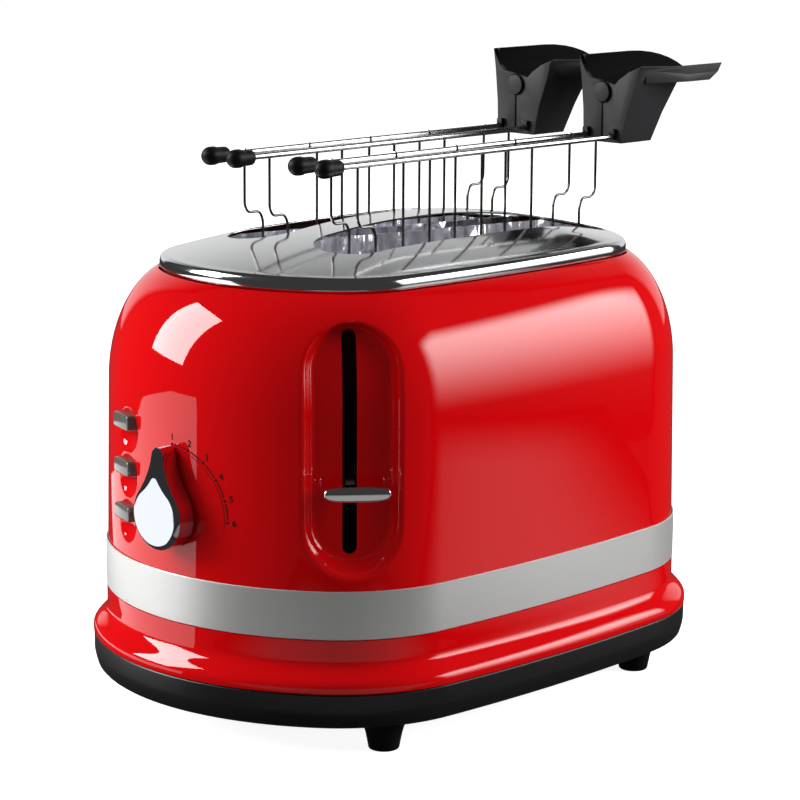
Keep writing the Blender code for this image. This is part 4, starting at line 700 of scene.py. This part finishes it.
def plate_height(x, y):
    """Height of the plate's crown above a place, found along the line to the plate's edge."""
    reach = 0.0
    edge = [(ex, ey - FRAME_Y) for ex, ey in plan(-PLATE_INSET, (12, 28, 20))]
    px, py = x, y - FRAME_Y
    for (ax, ay), (bx, by) in zip(edge, edge[1:] + edge[:1]):
        wide, deep = bx - ax, by - ay
        across = wide * py - deep * px
        if abs(across) < 1e-12:
            continue
        scale = (wide * ay - deep * ax) / across
        if scale <= 0:
            continue
        along = ((px * scale - ax) * wide + (py * scale - ay) * deep) / (wide ** 2 + deep ** 2)
        if -1e-6 <= along <= 1 + 1e-6:
            reach = max(reach, 1 / scale)
    return PLATE_RIM_Z + PLATE_CROWN * (1 - reach ** 2)


liner = Look("liner_sheet", (0.84, 0.84, 0.92), metallic=0.80, roughness=0.14)
liner.bump(liner.noise(75.0, (1.0, 1.0, 0.35)), 1.0, 0.010)
for side, slot_x in (("far", -SLOT_X), ("near", SLOT_X)):
    outer = oblong(slot_x, SLOT_WIDTH + 2 * LINER_SHEET, SLOT_FRONT_Y - LINER_SHEET, SLOT_REAR_Y + LINER_SHEET)
    inner = oblong(slot_x, SLOT_WIDTH, SLOT_FRONT_Y, SLOT_REAR_Y)
    tops = [plate_height(x, y) - PLATE_SHEET - LINER_GAP for x, y in outer]
    rings = [[(x, y, LINER_BOTTOM) for x, y in outer], [(x, y, z) for (x, y), z in zip(outer, tops)],
             [(x, y, z) for (x, y), z in zip(inner, tops)], [(x, y, LINER_BOTTOM) for x, y in inner]]
    liner_hoop = piece(f"slot_liner_{side}_sheet", skin("liner", rings, True), liner, "body",
                       f"slot_liner_{side}")


# Chassis
# The works that the housing hides: folded plated sheet, mica heater cards, guards and a rod and spring of
# bright wire, a wound magnet, a circuit board and the cord's rubber bush. They are the solids themselves.
BRIGHT_Z = (0.2355, 0.2360)  # wire above this height, the rails, keeps its bright tone; wire below it is painted darker as shade
PAINTED_SHADE_WIRE = (0.14, 0.13, 0.12)
BRIGHT_WIRE_TONE = (0.46, 0.46, 0.46)
sheet = Look("plated_sheet", (0.60, 0.60, 0.60), metallic=0.9, roughness=0.30)
sheet.bump(sheet.noise(300.0), 0.05, 0.0003)
wire = Look("bright_wire", (0.20, 0.20, 0.20), metallic=1.0, roughness=0.24)
height = wire.node("SeparateXYZ", {}, {"Vector": wire.node("TexCoord", output="Object")}, 2)
# painted shade: every wire below the rails, down the slots and inside the housing, gets the darker tone
wire.feed("Base Color", wire.blend(wire.between(height, *BRIGHT_Z, 0.0, 1.0), PAINTED_SHADE_WIRE, BRIGHT_WIRE_TONE))
mica = Look("mica", (0.45, 0.36, 0.24), roughness=0.6)
board = Look("board_green", (0.02, 0.14, 0.06), roughness=0.5)
coil = Look("copper_coil", (0.45, 0.18, 0.08), metallic=1.0, roughness=0.4)
for look, names in ((sheet, ("front_end_plate", "rear_end_plate", "crumb_tray", "carriage", "knob_shaft")),
                    (wire, ("guide_rod", "lift_spring", "bread_guard_far_left", "bread_guard_far_right",
                            "bread_guard_near_left", "bread_guard_near_right")),
                    (mica, ("heater_far", "heater_middle", "heater_near")),
                    (rubber, ("cord_gland",)), (board, ("control_board",)), (coil, ("latch_magnet",))):
    for name in names:
        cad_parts[name].material_slots[0].material = look.material


# Lever paddle
# A chromed pad on the arm that comes out of the channel's slot, flat on top and bowed underneath. It is
# moulded in one piece with rounded edges and a slightly bowed face, and plated.
LEVER_Z = 0.1118
LEVER_SHIFT = 0.0011
LEVER_WIDTH = 0.0272
LEVER_HEIGHT = 0.0069
LEVER_STAND_OFF = 0.0008
LEVER_BOW = 0.0014
LEVER_END_POWER = 0.62
LEVER_TOP_POWER = 0.55
LEVER_UNDER_POWER = 0.85
# Depth, inset, and whether the face's bow counts, from the back edge to the middle of the face
LEVER_SECTION = ((0.0, 0.0010, 0), (0.0003, 0.0003, 0), (0.0010, 0.0, 0), (0.0060, 0.0, 1),
                 (0.0065, 0.0002, 1), (0.0068, 0.0005, 1), (0.0070, 0.0010, 1), (0.0070, 0.0018, 1),
                 (0.0070, 0.0026, 1), (0.0070, 0.0033, 1))


def lever_outline(inset):
    """The pad seen from the front: a flat top edge, round ends and a bowed lower edge."""
    half, high = LEVER_WIDTH / 2 - inset, LEVER_HEIGHT / 2 - inset
    points = []
    for angle in turns(64):
        c, w = math.cos(angle), math.sin(angle)
        power = LEVER_TOP_POWER if w > 0 else LEVER_UNDER_POWER
        points.append((half * math.copysign(abs(c) ** LEVER_END_POWER, c),
                       high * math.copysign(abs(w) ** power, w)))
    return points


def lever_mesh():
    middle = CHANNEL_FOOT + CHANNEL_SIDE * LEVER_SHIFT
    rings = []
    for depth, inset, bow in LEVER_SECTION:
        rings.append([])
        for u, v in lever_outline(inset):
            back = bow * LEVER_BOW * ((v - 0.0012) / 0.0047) ** 2
            spot = middle + CHANNEL_OUT * (LEVER_STAND_OFF + depth - back) + CHANNEL_SIDE * u
            rings[-1].append(Vector((spot.x, spot.y, LEVER_Z + v)))
    return shut(skin("lever", rings))


chrome = Look("chrome", (0.90, 0.90, 0.91), metallic=1.0, roughness=0.05)
lever = piece("lever_paddle_chrome", lever_mesh(), chrome, "carriage", "lever_paddle", smooth=50)


# Browning knob
# A chromed pointer knob that is pushed on to its shaft: a flat drop-shaped face, a finger that slopes back
# above it, and straight sides. It is moulded and plated in one piece.
KNOB_Z = 0.0955
KNOB_RADIUS = 0.0142
KNOB_REACH = 0.0290
KNOB_TIP_RADIUS = 0.0034
KNOB_FLANK_RADIUS = 0.0350
KNOB_BACK = -HALF_LENGTH + WALL_INSET - 0.0005 + FRAME_Y
KNOB_FACE = KNOB_BACK - 0.0090
KNOB_EDGE = 0.0003
FACE_RADIUS = 0.0124
FACE_REACH = 0.0168
FACE_TIP_RADIUS = 0.0022
FACE_FLANK_RADIUS = 0.0250
FINGER_TILT = 0.0007
FINGER_LENGTH = 0.0163


def drop_outline(radius, reach, tip_radius, flank, counts=(40, 24, 12)):
    """Half a round, a hollow flank and a small round tip, mirrored to a closed outline in X and Z."""
    tip = reach - tip_radius
    low_reach, high_reach = radius + flank, tip_radius + flank
    rise = (low_reach ** 2 - high_reach ** 2 + tip ** 2) / (2 * tip)
    aside = math.sqrt(low_reach ** 2 - rise ** 2)
    low_turn, high_turn = math.atan2(rise, aside), math.atan2(rise - tip, aside)
    spans = (((0.0, 0.0), radius, -math.pi / 2, low_turn),
             ((aside, rise), flank, math.pi + low_turn, math.pi + high_turn),
             ((0.0, tip), tip_radius, high_turn, math.pi / 2))
    half = [(cx + r * math.cos(a), cz + r * math.sin(a))
            for ((cx, cz), r, start, stop), count in zip(spans, counts) for a in spread(start, stop, count)]
    half.append((0.0, reach))
    return half + [(-x, z) for x, z in half[-2:0:-1]]


def tilted(outline, y, tilt):
    """An outline at a depth, its finger leaning back by a share of the knob's tilt."""
    return [(x, y + tilt * FINGER_TILT * max(0.0, z - FACE_RADIUS) / FINGER_LENGTH, KNOB_Z + z)
            for x, z in outline]


def knob_mesh():
    full = drop_outline(KNOB_RADIUS, KNOB_REACH, KNOB_TIP_RADIUS, KNOB_FLANK_RADIUS)
    trimmed = drop_outline(KNOB_RADIUS - KNOB_EDGE, KNOB_REACH - KNOB_EDGE, KNOB_TIP_RADIUS - KNOB_EDGE,
                           KNOB_FLANK_RADIUS)
    face = drop_outline(FACE_RADIUS, FACE_REACH, FACE_TIP_RADIUS, FACE_FLANK_RADIUS)
    inner = [(x * 0.97, z * 0.97) for x, z in face]
    return shut(skin("knob", [
        tilted(full, KNOB_BACK, 0.0), tilted(full, KNOB_FACE + 0.0016, 1.0),
        tilted(full, KNOB_FACE + 0.0014, 1.0), tilted(trimmed, KNOB_FACE + 0.0011, 1.0),
        tilted(face, KNOB_FACE + 0.0001, 0.0), tilted(inner, KNOB_FACE, 0.0)]))


dark_chrome = Look("knob_chrome", (0.60, 0.63, 0.68), metallic=1.0, roughness=0.05)
knob = piece("browning_knob_chrome", knob_mesh(), dark_chrome, "knob", "browning_knob", smooth=28)


# Dial marks
# Dark ink printed on the enamel round the knob: an arc with six dots, numbered one to six, and a thin
# inner arc. Each mark is laid on the wall by a ray, so that it follows the wall's curve.
DIAL_RADIUS = 0.0293
DIAL_COUNT = 6
DIAL_STEP = 18.0
DOT_RADIUS = 0.00062
DOT_CLEAR = 2.5
ARC_WIDTH = 0.00050
INNER_ARC_RADIUS = DIAL_RADIUS - 0.0014
INNER_ARC_WIDTH = 0.00022
NUMBER_RADIUS = DIAL_RADIUS + 0.0030
NUMBER_SIZE = 0.0038
NUMBER_WEIGHT = 0.00007
INK_LIFT = 0.00012


def on_wall(u, v):
    """A place just off the wall, in front of a point that lies beside and above the knob's axis."""
    spot, normal = WALL.ray_cast(Vector((u, -1.0, KNOB_Z + v)), Vector((0.0, 1.0, 0.0)))[:2]
    return spot + normal * INK_LIFT


def print_on_wall(name, polygons):
    mesh = bpy.data.meshes.new(name)
    points, faces = [], []
    for polygon in polygons:
        faces.append(tuple(range(len(points), len(points) + len(polygon))))
        points += [on_wall(u, v) for u, v in polygon]
    mesh.from_pydata(points, [], faces)
    bm = bmesh.new()
    bm.from_mesh(mesh)
    bmesh.ops.recalc_face_normals(bm, faces=bm.faces)
    for face in bm.faces:
        if face.normal.y > 0:
            face.normal_flip()
    bm.to_mesh(mesh)
    bm.free()
    piece(name, mesh, ink, "body", smooth=0)


def round_dial(radius, degrees):
    """A place on the dial, measured from twelve o'clock towards the lever's side."""
    turn = math.radians(degrees)
    return radius * math.sin(turn), radius * math.cos(turn)


def arc_band(radius, low_degrees, high_degrees, width):
    """Short quads along an arc of the dial."""
    steps = max(int((high_degrees - low_degrees) / 3), 1)
    marks = spread(low_degrees, high_degrees, steps) + [high_degrees]
    inner, outer = radius - width / 2, radius + width / 2
    return [[round_dial(r, t) for r, t in ((inner, a), (outer, a), (outer, b), (inner, b))]
            for a, b in zip(marks, marks[1:])]


def dot(degrees):
    u, v = round_dial(DIAL_RADIUS, degrees)
    return [(u + DOT_RADIUS * math.cos(a), v + DOT_RADIUS * math.sin(a)) for a in turns(16)]


def number_polygons(text, degrees):
    """The outlines of a figure in Blender's own plain font, round the dial."""
    middle_u, middle_v = round_dial(NUMBER_RADIUS, degrees)
    data = bpy.data.curves.new("figure", "FONT")
    data.body = text
    data.size, data.offset = NUMBER_SIZE, NUMBER_WEIGHT
    data.align_x, data.align_y = "CENTER", "CENTER"
    holder = link("figure", data)
    mesh = shown_mesh(holder)
    bpy.data.objects.remove(holder)
    flat = [(middle_u + point.co.x, middle_v + point.co.y) for point in mesh.vertices]
    return [[flat[k] for k in face.vertices] for face in mesh.polygons]


ink = Look("dial_ink", (0.012, 0.001, 0.001), roughness=0.6, specular_ior_level=0.2)
bm = bmesh.new()
bm.from_mesh(housing.data)
WALL = BVHTree.FromBMesh(bm)
bm.free()
marks, figures = [], []
for k in range(DIAL_COUNT):
    marks.append(dot(DIAL_STEP * k))
    if k < DIAL_COUNT - 1:
        marks += arc_band(DIAL_RADIUS, DIAL_STEP * k + DOT_CLEAR, DIAL_STEP * (k + 1) - DOT_CLEAR, ARC_WIDTH)
    figures += number_polygons(str(k + 1), DIAL_STEP * k)
marks += arc_band(INNER_ARC_RADIUS, -4, 96, INNER_ARC_WIDTH)
print_on_wall("dial_marks", marks)
print_on_wall("dial_numbers", figures)


# Push buttons
# Three caps of smoky clear plastic with rounded corners, one above each pressed dish. They stand out of
# the round wall and slide straight in and out of it.
BUTTON_X = -0.0345
BUTTON_WIDTH = 0.0158
BUTTON_HEIGHT = 0.0066
BUTTON_ROUND = 0.0018
BUTTON_STAND_OUT = 0.0024
BUTTON_BACK = -0.0054
# How far behind the front each ring lies, and its inset; the first ring is the cap's hidden back
BUTTON_SECTION = ((BUTTON_STAND_OUT - BUTTON_BACK, 0.0), (0.0009, 0.0), (0.0005, 0.0001), (0.0002, 0.00035),
                  (0.0, 0.0008))


def round_box(width, height, radius, steps=8):
    points = []
    for cu, cv, start in ((1, 1, 0.0), (-1, 1, 0.5), (-1, -1, 1.0), (1, -1, 1.5)):
        for k in range(steps + 1):
            a = math.pi * (start + k / steps / 2)
            points.append((cu * (width / 2 - radius) + radius * math.cos(a),
                           cv * (height / 2 - radius) + radius * math.sin(a)))
    return points


def button_mesh(z):
    foot, outward = end_place(BUTTON_X, z)
    sideways = Vector((-outward.y, outward.x, 0.0))
    rings = []
    for behind, inset in BUTTON_SECTION:
        outline = round_box(BUTTON_WIDTH - 2 * inset, BUTTON_HEIGHT - 2 * inset, BUTTON_ROUND - inset)
        rings.append([foot + outward * (BUTTON_STAND_OUT - behind) + sideways * u + Vector((0, 0, v))
                      for u, v in outline])
    return shut(skin("button", rings))


smoky = Look("smoky_clear", (0.125, 0.115, 0.105), roughness=0.16, coat_weight=0.4, coat_roughness=0.08)
for k, (level, body) in enumerate(zip(BUTTON_HEIGHTS, ("button_low", "button_middle", "button_high"))):
    button = piece(f"push_button_{k + 1}_cap", button_mesh(level), smoky, body, f"push_button_{k + 1}",
                   smooth=40)


# Tongs' wire grids
# Two grids of bright drawn wire to each pair of tongs: a thick rail on top, cranked end legs, straight
# middle legs and two long wires across them. The legs are welded on, and loop round the left-hand rails.
TONGS = (("tongs_far", -SLOT_X), ("tongs_near", SLOT_X))
RAIL_Z = 0.2372
RAIL_HALF_GAP = 0.00775
RAIL_RADIUS = 0.00125
RAIL_FRONT_Y = -0.0800 + FRAME_Y
HANDLE_FRONT_Y = 0.1074 + FRAME_Y
RAIL_END_Y = HANDLE_FRONT_Y + 0.0128
WIRE_RADIUS = 0.0006
FOOT_RAIL_RADIUS = 0.0010
LEG_FRONT_Y = -0.0497 + FRAME_Y
LEG_REAR_Y = 0.0837 + FRAME_Y
LEG_STEP = 0.0110
LEG_EASE = 0.0020
LEG_BENDS = (0.0230, 0.0262, 0.0302)
BEND_RADIUS = 0.0022
FOOT_RAIL_Z = 0.0678
MID_RAIL_Z = 0.1350
LOOP_RADIUS = RAIL_RADIUS + 0.0002
LOOP_WIRE = WIRE_RADIUS * 0.7
JAWS = [(tongs, side, slot_x + sign * RAIL_HALF_GAP)
        for tongs, slot_x in TONGS for side, sign in (("left", -1), ("right", 1))]


def rounded_path(points, radius, steps=5):
    """A path whose inner corners are turned into short curves."""
    path = [Vector(points[0])]
    for before, corner, after in zip(points, points[1:], points[2:]):
        before, corner, after = Vector(before), Vector(corner), Vector(after)
        reach = min(radius, (before - corner).length * 0.45, (after - corner).length * 0.45)
        start = corner + (before - corner).normalized() * reach
        stop = corner + (after - corner).normalized() * reach
        for k in range(steps + 1):
            t = k / steps
            path.append(start * (1 - t) ** 2 + corner * 2 * t * (1 - t) + stop * t ** 2)
    return path + [Vector(points[-1])]


def bent_wires(name, runs):
    """One mesh of several round wires, each a path with a radius."""
    bm = bmesh.new()
    for points, radius in runs:
        data = bpy.data.curves.new(name, "CURVE")
        data.dimensions = "3D"
        data.bevel_depth, data.bevel_resolution, data.use_fill_caps = radius, 3, True
        line = data.splines.new("POLY")
        line.points.add(len(points) - 1)
        for spot, point in zip(line.points, points):
            spot.co = (*point, 1.0)
        holder = link(name, data)
        bm.from_mesh(shown_mesh(holder))
        bpy.data.objects.remove(holder)
    made = bpy.data.meshes.new(name)
    bm.to_mesh(made)
    bm.free()
    return made


def grid_runs(x, looped):
    runs = [([(x, RAIL_FRONT_Y, RAIL_Z), (x, RAIL_END_Y, RAIL_Z)], RAIL_RADIUS)]
    first, second, third = (RAIL_Z - drop for drop in LEG_BENDS)
    for y, outward in ((LEG_FRONT_Y, -1), (LEG_REAR_Y, 1)):
        far, near = y + outward * LEG_STEP, y + outward * LEG_EASE
        leg = [(x, far, RAIL_Z), (x, far, first), (x, far - outward * LEG_EASE, second), (x, near, second),
               (x, y, third), (x, y, FOOT_RAIL_Z)]
        runs.append((rounded_path(leg, BEND_RADIUS), WIRE_RADIUS))
    for k in range(1, 4):
        y = LEG_FRONT_Y + (LEG_REAR_Y - LEG_FRONT_Y) * k / 4
        runs.append(([(x, y, RAIL_Z), (x, y, FOOT_RAIL_Z)], WIRE_RADIUS))
    for k in range(5 if looped else 0):
        y = LEG_FRONT_Y - LEG_STEP + (LEG_REAR_Y - LEG_FRONT_Y + 2 * LEG_STEP) * k / 4
        loop = [(x + LOOP_RADIUS * math.cos(a), y, RAIL_Z + LOOP_RADIUS * math.sin(a))
                for a in turns(24) + [2 * math.pi]]
        runs.append((loop, LOOP_WIRE))
    for z in (FOOT_RAIL_Z, MID_RAIL_Z):
        runs.append(([(x, LEG_FRONT_Y - LEG_EASE, z), (x, LEG_REAR_Y + LEG_EASE, z)], FOOT_RAIL_RADIUS))
    return runs


for tongs, side, x in JAWS:
    grid = piece(f"{tongs}_grid_{side}_wire", bent_wires("grid", grid_runs(x, side == "left")), wire,
                 f"{tongs}_{side}", f"{tongs}_grid_{side}")


# Tongs' rubber caps
# A sleeve of dull black rubber pushed over the free end of each rail, with a domed end and a slight waist
# behind it.
CAP_LENGTH = 0.0132
CAP_GRIP = 0.0085
CAP_RADIUS = 0.0040
CAP_SLEEVE = [(0.0060, CAP_RADIUS), (0.0072, 0.0036), (0.0100, 0.0035), (0.0126, 0.0034), (CAP_LENGTH, 0.0030)]


def cap_mesh(x):
    tip = RAIL_FRONT_Y + CAP_GRIP - CAP_LENGTH
    dome = [(CAP_RADIUS * (1 - math.cos(a)), CAP_RADIUS * math.sin(a))
            for a in (math.pi / 2 * k / 10 for k in range(1, 11))]
    rings = [[(x + r * math.cos(a), tip + along, RAIL_Z + r * math.sin(a)) for a in turns(32)]
             for along, r in dome + CAP_SLEEVE]
    return shut(skin("cap", rings))


for tongs, side, x in JAWS:
    cap = piece(f"{tongs}_cap_{side}_rubber", cap_mesh(x), rubber, f"{tongs}_{side}", f"{tongs}_cap_{side}")


# Tongs' handles
# Two halves to each pair, moulded in satin black plastic, hollow and open towards the top, with the rails
# pushed into their front ends. They are copies of the solids with their edges rounded. The walls round
# the hollow carry painted shade.
HANDLE_ROUND = 0.0005
HOLLOW_BACK = 0.0150  # how far behind the handles' front the middle of their hollow lies
HOLLOW_FACING = 0.35


def smoothed(name, look, body, node, width):
    """A copy of a solid with its hard edges rounded."""
    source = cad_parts[node]
    mesh = source.data.copy()
    mesh.materials.clear()
    mesh.transform(source.matrix_world)
    bm = bmesh.new()
    bm.from_mesh(mesh)
    bmesh.ops.remove_doubles(bm, verts=bm.verts, dist=0.00002)
    bmesh.ops.dissolve_limit(bm, angle_limit=math.radians(1.5), verts=bm.verts, edges=bm.edges)
    bm.to_mesh(mesh)
    bm.free()
    made = piece(name, mesh, look, body, node, smooth=0)
    add_step(made, "BEVEL", width=width, segments=3, limit_method="ANGLE", angle_limit=math.radians(28))
    settle(made, 40)
    return made


def paint_hollow_shade(handle, middle):
    """Give the walls that look towards a handle's hollow the shaded look."""
    handle.data.materials.append(painted_shade_black.material)
    for face in handle.data.polygons:
        to_middle = Vector((middle[0] - face.center.x, middle[1] - face.center.y, 0.0))
        if to_middle.length > 0.002 and to_middle.normalized().dot(face.normal) > HOLLOW_FACING:
            face.material_index = 1


moulded = Look("handle_black", (0.021, 0.022, 0.024), roughness=0.50, specular_ior_level=0.36)
moulded.bump(moulded.noise(700.0), 0.06, 0.0003)
# painted shade: a near-black copy of the handle plastic for the shadow in the hollows and in the gap round the
# pin heads
painted_shade_black = Look("handle_painted_shade", (0.003, 0.003, 0.003), roughness=0.8, specular_ior_level=0.06)
for tongs, slot_x in TONGS:
    for side in ("left", "right"):
        handle = smoothed(f"{tongs}_handle_{side}_moulded", moulded, f"{tongs}_{side}",
                          f"{tongs}_handle_{side}", HANDLE_ROUND)
        paint_hollow_shade(handle, (slot_x, HANDLE_FRONT_Y + HOLLOW_BACK))


# Tongs' pivot pins
# A black plastic pin with a round head through both handle halves of a pair. It is a copy of the solid,
# and a thin ring of painted shade on the handle stands for the shadow in the gap round its head.
PIN_ROUND = 0.0003
PIVOT_SHIFT = 0.0008
PIVOT_Z = 0.2572
# painted shade: a flat near-black ring just in front of the handle, for the shadow in the gap round each pin
# head
GAP_SHADE_RADII = (0.0046, 0.0051)
GAP_SHADE_LIFT = 0.00015
for tongs, slot_x in TONGS:
    pin = smoothed(f"{tongs}_pin_head", moulded, tongs, f"{tongs}_pivot_pin", PIN_ROUND)
    gap_shade = skin("gap_shade", [[(slot_x + PIVOT_SHIFT + r * math.cos(a), HANDLE_FRONT_Y - GAP_SHADE_LIFT,
                               PIVOT_Z + r * math.sin(a)) for a in turns(48)] for r in GAP_SHADE_RADII])
    piece(f"{tongs}_pin_gap_shade", gap_shade, painted_shade_black, tongs, smooth=0)
